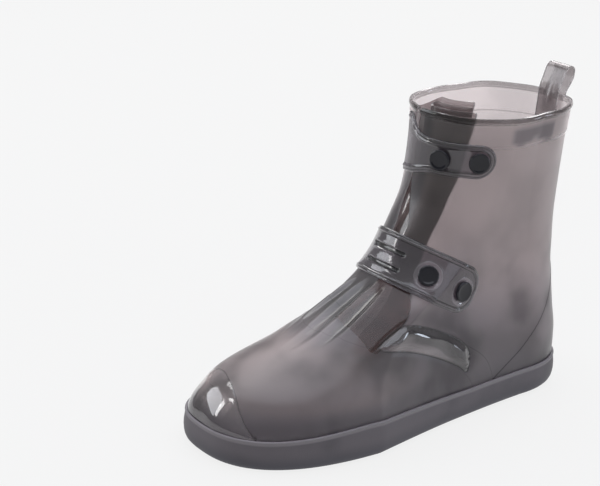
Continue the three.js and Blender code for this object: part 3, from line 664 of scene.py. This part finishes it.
outside_only = sums("SUBTRACT", 1.0, measured("lining"))
grooves = sums("MULTIPLY", grooves, outside_only)
grooves = sums("MAXIMUM", grooves, line_at(sums("ADD", patch_d, 0.3), 1.1))
shade = sums("MULTIPLY", tone_and_painted_light, ramp_between(grooves, 0.0, 1.0, 1.0, 0.25))
shade = sums("MULTIPLY", shade, ramp_between(patch_d, -0.5, 1.0, 1.0, 0.75))
shade = sums("MULTIPLY", shade, ramp_between(cleared, 0.0, 1.0, 1.0, 0.5))
shade = sums("MULTIPLY", shade, ramp_between(height, 203.4, 204.4, 1.0, 0.3))
# The face inside is lighter and scatters more, with painted shade where the bellows lie behind it; the
# outer face carries the rest of the smoke, cooler where the tone, with its painted shade, is low.
smoke = blend(ramp_between(tone_and_painted_light, 0.4, 1.0), (0.48, 0.5, 0.56), (0.56, 0.55, 0.555))
tinted = blend(1.0, shell_variation.outputs["Color"], shade, "MULTIPLY")
browned = blend(cleared, tinted, (1.0, 0.62, 0.55), "MULTIPLY")
outer_face = blend(1.0, browned, smoke, "MULTIPLY")
alone = ramp_between(measured("backed"), -0.5, 1.0, 1.0, 0.3)
lining_shading = sums("MAXIMUM", alone, sums("MULTIPLY", cleared, 0.8))
shaded_lining = blend(1.0, (0.8, 0.765, 0.77), lining_shading, "MULTIPLY")
l.new(blend(measured("lining"), outer_face, shaded_lining), shell_bsdf.inputs["Base Color"])
sheen = n.new("ShaderNodeMix")
l.new(polished, sheen.inputs["Factor"])
l.new(shell_variation.outputs["Roughness"], sheen.inputs[2])
sheen.inputs[3].default_value = 0.09
l.new(sheen.outputs[0], shell_bsdf.inputs["Roughness"])
grain_left = sums("MULTIPLY", shell_variation.outputs["Height"], sums("SUBTRACT", 1.0, polished))
l.new(sums("ADD", grain_left, sums("MULTIPLY", grooves, -1.5)), shell_bump.inputs["Height"])
coated = sums("MAXIMUM", glossy, ramp_between(measured("pleat"), 0.1, 0.9, 0.0, 0.75))
l.new(sums("MULTIPLY", coated, outside_only), shell_bsdf.inputs["Coat Weight"])
shell_bsdf.inputs["Coat Roughness"].default_value = 0.04
shell_bsdf.inputs["IOR"].default_value = 1.4
upper.data.materials.append(shell_pvc)
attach(upper, "root")
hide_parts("upper")

# ----------------------------------------------------------------------------------------------------
# Outsole.
# A cup of solid dark grey PVC bonded round the foot of the upper: a six millimetre floor and a side wall
# with a fine raised edge at the top and a rounded lower edge, matte from the mould.
# ----------------------------------------------------------------------------------------------------
SOLE_PLAN = np.array([(0, -HALF_LENGTH, HALF_LENGTH, 2.55, 2.2, -48, 25, 95,
                       61.4, 48.5, 41.4, 54.1, 44.1, 42.4, -5.9)], float)
FLOOR_TOP, CUP_GAP = 6.0, 0.3
SOLE_TOP_TOE, SOLE_TOP_HEEL = 25.0, 21.0
sole_out, _ = half_outline(SOLE_PLAN, 1, SHARES + 1)
sole_in, _ = half_outline(SOLE_PLAN, -1, SHARES + 1)
sole_ring = np.concatenate([sole_in[0, :0:-1], sole_out[0, :-1]])
tangent = np.roll(sole_ring, -5, 0) - np.roll(sole_ring, 5, 0)
tangent /= np.linalg.norm(tangent, axis=1, keepdims=True)
outward = np.stack([tangent[:, 1], -tangent[:, 0]], 1)
SOLE_COLS = 240
ring_share = -1 + 2 * np.arange(SOLE_COLS) / SOLE_COLS
pick_cols = (np.arange(SOLE_COLS) * (2 * SHARES) // SOLE_COLS)
ring_xy, ring_out = sole_ring[pick_cols], outward[pick_cols]
top_edge = SOLE_TOP_TOE + (SOLE_TOP_HEEL - SOLE_TOP_TOE) * np.clip((ring_xy[:, 1] + 60) / 100, 0, 1)
top_edge = top_edge - 4.0 * step(-ring_xy[:, 1], 50, 135)


def cup_loop(inset, height):
    """Sole outline moved inwards by inset at a height that is a number or follows the side's top edge."""
    return np.column_stack([ring_xy - ring_out * inset, np.broadcast_to(height, SOLE_COLS)])


def fitted_loop(height):
    """Inside of the cup, a hair's breadth off the shell's outer face."""
    p = on_skin(ring_share, np.broadcast_to(height, SOLE_COLS), CUP_GAP)
    p[:, 2] = height
    return p


# Insets and heights of the loops up the outside, those near the top by how far they stand below its edge.
LOW_LOOPS = ((7.5, 0.0), (6.0, 0.0), (4.3, 0.45), (2.8, 1.35), (1.6, 2.7), (0.75, 4.5), (0.25, 6.8),
             (0.0, 9.5), (0.05, 12.5))
TOP_LOOPS = ((0.3, 6.5), (0.75, 3.2), (0.95, 2.2), (0.75, 1.8), (0.55, 1.25), (0.6, 0.6), (0.95, 0.15),
             (1.5, 0.0))
loops = [cup_loop(inset, height) for inset, height in LOW_LOOPS]
loops += [cup_loop(inset, top_edge - below) for inset, below in TOP_LOOPS]
loops += [fitted_loop(height) for height in (top_edge - 0.4, 17.5, 14.0, FLOOR_TOP + 1.2, FLOOR_TOP)]
strips = np.array(loops)  # loops by columns
n_loops = len(strips)
i = np.arange(SOLE_COLS)
after = (i + 1) % SOLE_COLS
first_side = np.stack([i, after, SOLE_COLS + after, SOLE_COLS + i], 1)
side_quads = np.concatenate([first_side + k * SOLE_COLS for k in range(n_loops - 1)])
half = SOLE_COLS // 2


def cross_quads(base):
    """Quads that run straight across a loop from the inner side to the outer side, from toe to heel."""
    left, right = base + half - np.arange(1, half), base + half + np.arange(1, half)
    quads = np.stack([left[:-1], right[:-1], right[1:], left[1:]], 1)
    ends = np.array([[base + half, right[0], left[0], left[0]], [left[-1], right[-1], base, base]])
    return quads, ends


under, under_ends = cross_quads(0)
inside_floor, floor_ends = cross_quads((n_loops - 1) * SOLE_COLS)
quads = np.concatenate([side_quads, under[:, ::-1], inside_floor])
tri_ends = np.concatenate([under_ends[:, ::-1], floor_ends])
sole_mesh = bpy.data.meshes.new("sole_cup")
sole_mesh.from_pydata((strips.reshape(-1, 3) * MM).tolist(), [],
                      quads.tolist() + [list(dict.fromkeys(t)) for t in tri_ends.tolist()])
bm = bmesh.new()
bm.from_mesh(sole_mesh)
bmesh.ops.recalc_face_normals(bm, faces=bm.faces)
bm.to_mesh(sole_mesh)
bm.free()
sole_mesh.polygons.foreach_set("use_smooth", np.ones(len(sole_mesh.polygons), bool))
sole_mesh.set_sharp_from_angle(angle=math.radians(40))
sole_cup = bpy.data.objects.new("sole_cup", sole_mesh)
bpy.context.scene.collection.objects.link(sole_cup)

sole_pvc = bpy.data.materials.new("matte_sole_pvc")
sole_pvc.use_nodes = True
n, l = sole_pvc.node_tree.nodes, sole_pvc.node_tree.links
p = with_inputs(n["Principled BSDF"], {"IOR": 1.48})
v = n.new("ShaderNodeGroup")
v.node_tree = smoky_variation
with_inputs(v, {"Tint": (0.05, 0.045, 0.054, 1), "Cloud Tint": (0.092, 0.082, 0.094, 1), "Cloud Amount": 0.85,
                "Roughness": 0.5, "Roughness Spread": 0.08})
l.new(v.outputs["Roughness"], p.inputs["Roughness"])
bump = with_inputs(n.new("ShaderNodeBump"), {"Strength": 0.25, "Distance": 0.0003})
l.new(v.outputs["Height"], bump.inputs["Height"])
l.new(bump.outputs["Normal"], p.inputs["Normal"])
# Painted highlight: the fine edge at the top of the side wall is painted lighter, as if it caught the
# light. Painted shade: the side wall is painted darker and cooler towards its bottom.
loop_of = np.repeat(np.arange(n_loops), SOLE_COLS)
carry(sole_mesh, "edge", np.abs(loop_of - 13.5) < 2.6)
carry(sole_mesh, "rise", strips[..., 2])
with_edge = blend(measured("edge"), v.outputs["Color"], (0.15, 0.138, 0.152))
low_shade = blend(ramp_between(measured("rise"), 0.0, 15.0), (0.033, 0.032, 0.045), with_edge)
l.new(low_shade, p.inputs["Base Color"])
sole_mesh.materials.append(sole_pvc)
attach(sole_cup, "root")
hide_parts("outsole")

# ----------------------------------------------------------------------------------------------------
# Front bellows.
# One thin sheet of the same PVC welded to both edges of the opening: it runs back along the outer wall,
# folds forward, back and forward again, and comes up to the inner side, so the shaft can open wide when
# unsnapped.
# ----------------------------------------------------------------------------------------------------
TUCK_THICK, TUCK_PITCH, TUCK_DEPTH = 1.0, 2.0, 2.85
tuck_z = np.linspace(67, 206.5, 60)
fold_front, fold_rear, free_start, rise = smooth_through(TUCK[:, 0], TUCK[:, 1:], tuck_z).T
fold_front = fold_front - 9.5 * step(tuck_z, 176, 204)  # the front folds creep round towards the inner flap
opening = np.maximum(free_start + 13, fold_front - 4.5) * rise + (fold_front + 1) * (1 - rise)
shorter = fold_rear - 2.2
r_turn = TUCK_PITCH / 2


def lay(s0, s1, k0, k1, count):
    """Straight run of the sheet's centre line from place s0, layer k0, to s1, layer k1, less its last point."""
    t = np.linspace(0, 1, count, endpoint=False)[:, None]
    return np.stack([s0 + (s1 - s0) * t, np.broadcast_to(k0 + (k1 - k0) * t, (count, len(tuck_z)))], -1)


def fold(s, k, way):
    """Half turn from layer k to layer k + 1: a half circle of the layers' pitch that bulges the given way."""
    t = np.linspace(0, math.pi, 9)[:, None]
    layer = np.broadcast_to(k + 0.5 - 0.5 * np.cos(t), (9, len(tuck_z)))
    return np.stack([s + way * np.sin(t) * r_turn, layer], -1)


t = np.linspace(0, 1, 12)[:, None]
low = fold_front + 0.5
final = np.stack([low + (free_start - low) * t, 3 - 3 * rise * (t * t * (3 - 2 * t))], -1)
back_end, front_end, short_end = fold_rear - r_turn, fold_front + r_turn, shorter - r_turn
sheet_line = np.concatenate([
    lay(opening, back_end, 0, 0, 12), fold(back_end, 0, 1),
    lay(back_end - 1.5, front_end + 1.5, 1, 1, 12), fold(front_end, 1, -1),
    lay(front_end + 1.5, short_end - 1.5, 2, 2, 12), fold(short_end, 2, 1),
    lay(short_end - 1.5, low, 3, 3, 12), final])
place, depth = sheet_line[..., 0], TUCK_DEPTH + sheet_line[..., 1] * TUCK_PITCH
dp, dd = np.gradient(place, axis=0), np.gradient(depth, axis=0)
size = np.hypot(dp, dd)
# Towards the rim the free folds stand apart and rise out of the mouth.
spread_out = step(tuck_z, 172, 206.5) * np.clip(sheet_line[..., 1], 0, 3) / 3
depth = depth + 6.5 * spread_out
round_run = np.where(place < 0, np.interp(tuck_z, LEVELS, inner_run), np.interp(tuck_z, LEVELS, outer_run))
z_tuck = np.broadcast_to(tuck_z, place.shape)
skins = []
for k in (-TUCK_THICK / 2, TUCK_THICK / 2):
    s, d = place - dd / size * k, depth + dp / size * k
    skins.append(on_skin(s / round_run, z_tuck, -d) + spread_out[..., None] * (0, 0, 7.0))
bellows = build_wall("front_bellows", skins, {
    "open": step(z_tuck, 192, 206), "low_end": 1 - step(z_tuck, 96, 116)}, crease=50.0)
# Painted light and shade: the bellows' PVC is painted far darker than the shell's down inside the boot, and
# lighter where it stands out of the mouth.
bellows_pvc, bellows_bsdf, bellows_variation, _ = clear_pvc(
    "smoky_pvc_bellows", (0.085, 0.06, 0.06), (0.165, 0.115, 0.11), 0.7, 0.12, 0.93)
bellows_bsdf.inputs["Coat Weight"].default_value = 0.5
n, l = bellows_pvc.node_tree.nodes, bellows_pvc.node_tree.links
out_of_mouth = blend(measured("open"), bellows_variation.outputs["Color"], (0.4, 0.355, 0.36))
browner_end = blend(measured("low_end"), out_of_mouth, (0.36, 0.2, 0.18))
l.new(browner_end, bellows_bsdf.inputs["Base Color"])
bellows_bsdf.inputs["Coat Roughness"].default_value = 0.06
bellows.data.materials.append(bellows_pvc)
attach(bellows, "root")
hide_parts("front_gusset")

# ----------------------------------------------------------------------------------------------------
# Top strap.
# A tongue moulded with the inner front flap: its upper edge sweeps down from the rim, it comes round the
# front and ends in a half round about the rear snap, with a raised bead a little in from its edge.
# Polished both sides.
# ----------------------------------------------------------------------------------------------------
STRAP_LOW, STRAP_THICK, STRAP_REAR, STRAP_MID, STRAP_ROUND, PER_SHARE = 1.05, 1.6, 0.254, 178.2, 11.5, 160.0
TOP_EDGE = ([-0.1, -0.075, -0.058, -0.03, -0.01, 0.06, 0.128, 0.254],
            [202.5, 202, 199, 193.5, 191.6, 190, 189.8, 189.8])
LOW_EDGE = ([-0.1, -0.04, 0.075, 0.183, 0.254], [162, 163.4, 167.4, 167.2, 166.7])
tip = STRAP_REAR + STRAP_ROUND / PER_SHARE * np.sin(np.linspace(0, math.pi / 2, 26)[1:]) * 0.9995
shares = np.concatenate([np.linspace(-0.1, STRAP_REAR, 90), tip])
reach = np.clip((shares - STRAP_REAR) * PER_SHARE, 0, None)
chord = np.sqrt(np.maximum(STRAP_ROUND ** 2 - reach ** 2, 0.02))
high_edge = np.where(reach > 0, STRAP_MID + chord, smooth_through(*TOP_EDGE, shares))
low_edge = np.where(reach > 0, STRAP_MID - chord, smooth_through(*LOW_EDGE, shares))
v_share = 0.5 - 0.5 * np.cos(np.linspace(0, math.pi, 45))
strap_a = np.broadcast_to(shares[:, None], (len(shares), 45))
strap_z = low_edge[:, None] + (high_edge - low_edge)[:, None] * v_share[None, :]
edge_gap = np.minimum(strap_z - low_edge[:, None], high_edge[:, None] - strap_z)
round_gap = STRAP_ROUND - np.hypot((strap_a - STRAP_REAR) * PER_SHARE, strap_z - STRAP_MID)
edge_gap = np.where(strap_a > STRAP_REAR, round_gap, edge_gap)


def bead(gap, inset, width, height):
    """Raised line along an edge: a bell curve of the distance in from the edge."""
    return height * np.exp(-((gap - inset) / width) ** 2)


soft_edge = -0.75 * np.clip(1 - edge_gap / 1.0, 0, 1) ** 2
strap_top = STRAP_LOW + STRAP_THICK + bead(edge_gap, 3.4, 0.75, 0.7)
strap_top = strap_top - 0.12 * step(edge_gap, 3.6, 5.0) + soft_edge
skins = [on_skin(strap_a, strap_z, strap_top), on_skin(strap_a, strap_z, STRAP_LOW - 0.4 * soft_edge)]
FAR = 99.0  # a distance at which slots and bosses leave no mark
top_strap = build_wall("top_strap_piece", skins, {"edge": edge_gap, "slot": FAR, "boss": FAR}, crease=55.0)
strap_pvc, strap_bsdf, strap_variation, _ = clear_pvc(
    "polished_pvc_strap", (0.2, 0.18, 0.203), (0.28, 0.255, 0.285), 0.5, 0.09, 0.92, grain=0.03)
strap_bsdf.inputs["Coat Weight"].default_value = 0.5
strap_bsdf.inputs["Coat Roughness"].default_value = 0.05
n, l = strap_pvc.node_tree.nodes, strap_pvc.node_tree.links
from_edge, from_slot, from_boss = measured("edge"), measured("slot"), measured("boss")
# Painted shade: dark lines along the strap's edge and near its bead, and dark inside the slots.
first_line, second_line = (line_at(sums("SUBTRACT", from_edge, place_), 0.5) for place_ in (1.5, 3.5))
edge_lines = sums("MAXIMUM", first_line, second_line)
edge_lines = sums("MAXIMUM", edge_lines, ramp_between(from_edge, 0.0, 0.6, 0.8, 0.0))
edge_lines = sums("MAXIMUM", edge_lines, ramp_between(from_slot, -0.3, 0.2, 1.0, 0.0))
line_shade = ramp_between(edge_lines, 0.0, 1.0, 1.0, 0.14)
darker = blend(1.0, strap_variation.outputs["Color"], line_shade, "MULTIPLY")
# Painted highlight: a light ring is painted round each snap's boss.
ring = sums("MULTIPLY", ramp_between(from_boss, 7.0, 7.4), ramp_between(from_boss, 9.4, 9.9, 1.0, 0.0))
l.new(blend(sums("MULTIPLY", ring, 0.6), darker, (0.62, 0.6, 0.64)), strap_bsdf.inputs["Base Color"])
top_strap.data.materials.append(strap_pvc)
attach(top_strap, "root")
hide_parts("top_strap")

# ----------------------------------------------------------------------------------------------------
# Instep strap.
# A polished strip that crosses the instep square to its ridge: beads along both edges, two long slots
# over the crown that leave three bright bars, a rounded end with two snaps outside and a bonded rounded
# end inside.
# ----------------------------------------------------------------------------------------------------
STRAP = {"offset": 96.2, "half": 16.6, "outer_end": -3.5, "inner_end": -9.0, "corner": 14.0, "low": 0.65,
         "thick": 1.8, "slots": (4.8, -6.6), "slot_half": 1.7, "slot_end": 0.088}
along_value = Y * SLOPE_Z - Z * SLOPE_Y  # distance back and down along the strap
lowest, highest = np.searchsorted(LEVELS, 55), np.searchsorted(LEVELS, 165)
strap_cols = np.arange(SHARES - 470, SHARES + 471)


def strap_heights(t):
    """Height at which each share's column meets the plane that lies t from the strap's centre line."""
    want = STRAP["offset"] + t
    rows_ = slice(lowest, highest)
    return np.array([np.interp(want, up_ridge[rows_, c], LEVELS[rows_]) for c in strap_cols])


def strap_limits(t, heights_):
    """Shares at which the strap's rounded ends stand in the plane that lies t from its centre line."""
    r, w = STRAP["corner"], STRAP["half"]
    cut = r - math.sqrt(max(r * r - max(abs(t) - (w - r), 0) ** 2, 0))
    m_ = table_at(along_value, strap_cols / SHARES - 1, heights_)
    mid = len(strap_cols) // 2
    outer = np.interp(STRAP["outer_end"] - cut, m_[mid:], strap_cols[mid:] / SHARES - 1)
    inner = np.interp(STRAP["inner_end"] - cut, m_[mid::-1], strap_cols[mid::-1] / SHARES - 1)
    return inner, outer


N_T, N_A = 61, 260
MOST = 0.9999  # share of the half width at which the outermost rows stand, so the rounded ends don't vanish
SINE_TURN = 0.97 * math.pi / 2
t_rows = STRAP["half"] * np.sin(np.linspace(-SINE_TURN, SINE_TURN, N_T)) / math.sin(SINE_TURN)
t_rows[0], t_rows[-1] = -STRAP["half"] * MOST, STRAP["half"] * MOST
grid_a, grid_z = np.empty((N_A, N_T)), np.empty((N_A, N_T))
for column, t_ in enumerate(t_rows):
    h_ = strap_heights(t_)
    a0, a1 = strap_limits(t_, h_)
    grid_a[:, column] = a0 + (a1 - a0) * np.linspace(0, 1, N_A)
    grid_z[:, column] = np.interp(grid_a[:, column], strap_cols / SHARES - 1, h_)
m_at = table_at(along_value, grid_a, grid_z)
t_at = np.broadcast_to(t_rows, grid_a.shape)
end_at = np.where(grid_a > 0, STRAP["outer_end"], STRAP["inner_end"]) - m_at
core = STRAP["half"] - STRAP["corner"]
corner_x, corner_y = np.maximum(STRAP["corner"] - end_at, 0), np.maximum(np.abs(t_at) - core, 0)
edge_gap = np.where((corner_x > 0) & (corner_y > 0), STRAP["corner"] - np.hypot(corner_x, corner_y),
                    np.minimum(STRAP["half"] - np.abs(t_at), np.where(end_at > -50, end_at, FAR)))
soft_edge = -0.8 * np.clip(1 - edge_gap / 1.1, 0, 1) ** 2
proud = bead(edge_gap, 2.4, 0.6, 0.6) + soft_edge
slot_gap = np.full(grid_a.shape, FAR)
for c in STRAP["slots"]:
    past = np.maximum(np.abs(grid_a) - STRAP["slot_end"] + 0.01, 0) * 175.0
    slot_gap = np.minimum(slot_gap, np.hypot(t_at - c, past) - STRAP["slot_half"])
proud = proud + bead(slot_gap, 0.7, 0.4, 0.25) - 1.7 * (1 - step(slot_gap, -0.7, 0.1))
strap_skin = on_skin(grid_a, grid_z, 2.0)
boss_gap = np.full(grid_a.shape, FAR)
for t0, m0 in ((-1.8, -42.6), (-1.4, -17.4)):
    nearest = np.argmin(np.hypot(t_at - t0, m_at - m0) + FAR * (grid_a < 0))
    boss_gap = np.minimum(boss_gap, np.linalg.norm(strap_skin - strap_skin.reshape(-1, 3)[nearest], axis=2))
proud = proud + 0.5 * np.exp(-((boss_gap - 9.0) / 0.9) ** 2)
high = STRAP["low"] + STRAP["thick"] + proud
skins = [on_skin(grid_a, grid_z, high), on_skin(grid_a, grid_z, STRAP["low"] - 0.4 * soft_edge)]
instep_strap = build_wall("instep_strap_piece", skins, {"edge": edge_gap, "slot": slot_gap, "boss": boss_gap},
                          crease=60.0)
instep_strap.data.materials.append(strap_pvc)
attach(instep_strap, "root")
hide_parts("instep_strap")

# ----------------------------------------------------------------------------------------------------
# Snap caps.
# Four black plastic caps of the press studs, turned discs with a flat, faintly dished face and a rounded
# rim, each on a short stem through its strap.
# ----------------------------------------------------------------------------------------------------
SNAP_PROFILE = np.array([(0.0, 2.05), (2.0, 2.07), (4.2, 2.12), (5.2, 2.2), (5.75, 2.4), (6.3, 2.38),
                         (6.7, 2.15), (6.9, 1.7), (6.9, 0.9), (6.6, 0.35), (6.0, 0.05), (3.2, 0.0),
                         (3.0, -0.4), (0.0, -0.4)])


def lathe(profile, centre, axis, turns=56):
    """A profile of radius and height carried round an axis at centre."""
    axis = axis / np.linalg.norm(axis)
    side = np.cross(axis, (0, 0, 1.0))
    side /= np.linalg.norm(side)
    other = np.cross(axis, side)
    angle = np.linspace(0, 2 * math.pi, turns, endpoint=False)[:, None]
    radial = np.cos(angle)[..., None] * side + np.sin(angle)[..., None] * other
    return centre + profile[None, :, :1] * radial + profile[None, :, 1:] * axis


cap_plastic = bpy.data.materials.new("black_cap_plastic")
cap_plastic.use_nodes = True
n, l = cap_plastic.node_tree.nodes, cap_plastic.node_tree.links
p = with_inputs(n["Principled BSDF"], {"Coat Weight": 0.15, "IOR": 1.35, "Coat Roughness": 0.08})
scuff = with_inputs(n.new("ShaderNodeTexNoise"), {"Scale": 160.0, "Detail": 4.0})
co = n.new("ShaderNodeTexCoord")
l.new(co.outputs["Object"], scuff.inputs["Vector"])
rough = with_inputs(n.new("ShaderNodeMapRange"), {"To Min": 0.06, "To Max": 0.15})
l.new(scuff.outputs["Fac"], rough.inputs["Value"])
l.new(rough.outputs["Result"], p.inputs["Roughness"])
l.new(blend(scuff.outputs["Fac"], (0.004, 0.004, 0.0065), (0.009, 0.009, 0.014)), p.inputs["Base Color"])
for node in ("snap_top_front", "snap_top_rear", "snap_instep_front", "snap_instep_rear"):
    cad = frame["nodes"][node]
    corners = np.empty(len(cad.data.vertices) * 3)
    cad.data.vertices.foreach_get("co", corners)
    corners = corners.reshape(-1, 3) / MM
    centre = corners.mean(0)
    spread = np.linalg.svd(corners - centre, full_matrices=False)[2]
    axis = spread[2] * np.sign(spread[2][0] if abs(spread[2][0]) > 0.3 else -spread[2][1])
    along_axis = (corners - centre) @ axis
    base = centre + axis * along_axis.min()
    points = lathe(SNAP_PROFILE, base, axis)
    turns, count = points.shape[:2]
    here = np.arange(turns)[:, None] * count + np.arange(count - 1)
    there = np.roll(here, -1, 0)
    quads = np.stack([here, there, there + 1, here + 1], -1).reshape(-1, 4)
    cap = build_piece(node + "_cap", points, quads, crease=50.0, merge=0.01)
    cap.data.materials.append(cap_plastic)
    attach(cap, "root")
    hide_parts(node)

# ----------------------------------------------------------------------------------------------------
# Pull tab.
# One strip of clear PVC welded inside the back of the rim, brought over in a loop that leans back and
# welded again outside the band; it pinches and creases where it leaves the rim.
# ----------------------------------------------------------------------------------------------------
TAB_HALF, TAB_THICK = 10.0, 1.4
TAB_LINE = np.array([(131.8, 176), (132.2, 186), (132.9, 196), (133.6, 205), (134.2, 210), (136, 216.5),
                     (137.6, 222), (139.4, 225.8), (142, 227.4), (144.8, 226.6), (146.4, 223.8),
                     (146.2, 219.5), (144, 213.6), (141.4, 209), (140.2, 204.8), (139.9, 198),
                     (139.2, 190)], float)
TAB_HUG = np.array([1, 1, 1, 1, 0.9, 0.6, 0.4, 0.3, 0.3, 0.3, 0.3, 0.4, 0.6, 0.8, 0.9, 0.9, 0.9])
TAB_LINE[:, 1] = np.where(TAB_LINE[:, 1] > 207, 207 + 0.88 * (TAB_LINE[:, 1] - 207), TAB_LINE[:, 1])
run = np.concatenate([[0], np.cumsum(np.hypot(*np.diff(TAB_LINE, axis=0).T))])
fine = np.linspace(0, run[-1], 120)
line = smooth_through(run, np.column_stack([TAB_LINE, TAB_HUG]), fine)
kernel = np.array([1, 2, 3, 2, 1]) / 9
line = np.stack([np.convolve(np.pad(c, 2, mode="edge"), kernel, "valid") for c in line.T], 1)
heading = np.gradient(line[:, :2], axis=0)
heading /= np.linalg.norm(heading, axis=1, keepdims=True)
tab_x = 9.2 * np.sin(np.linspace(-math.pi / 2, math.pi / 2, 33))
where = fine / run[-1]
pinch = 2.3 * np.exp(-((where - 0.3) / 0.045) ** 2)[:, None] * np.exp(-((tab_x - 1.0) / 2.8) ** 2)[None, :]
creases = np.cos(tab_x / 1.3) * np.exp(-(tab_x / 6.0) ** 2)
pinch = pinch + 0.5 * np.exp(-((where - 0.36) / 0.06) ** 2)[:, None] * creases
skins = []
for k in (0.5, -0.5):
    thin = 1 - 0.6 * np.clip((np.abs(tab_x) - TAB_HALF + 0.8) / 0.8, 0, 1) ** 2
    off = k * TAB_THICK * thin[None, :] - pinch
    yy = line[:, :1] + heading[:, 1:2] * off - line[:, 2:] * tab_x[None, :] ** 2 / 76
    zz = line[:, 1:2] - heading[:, :1] * off
    skins.append(np.stack([np.broadcast_to(tab_x, yy.shape), yy, zz], -1))
tab = build_wall("pull_tab_loop", skins, crease=60.0)
tab_pvc = clear_pvc(
    "polished_pvc_tab", (0.31, 0.28, 0.285), (0.43, 0.395, 0.4), 0.5, 0.2, 0.93, grain=0.03)[0]
tab.data.materials.append(tab_pvc)
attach(tab, "root")
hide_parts("pull_tab")
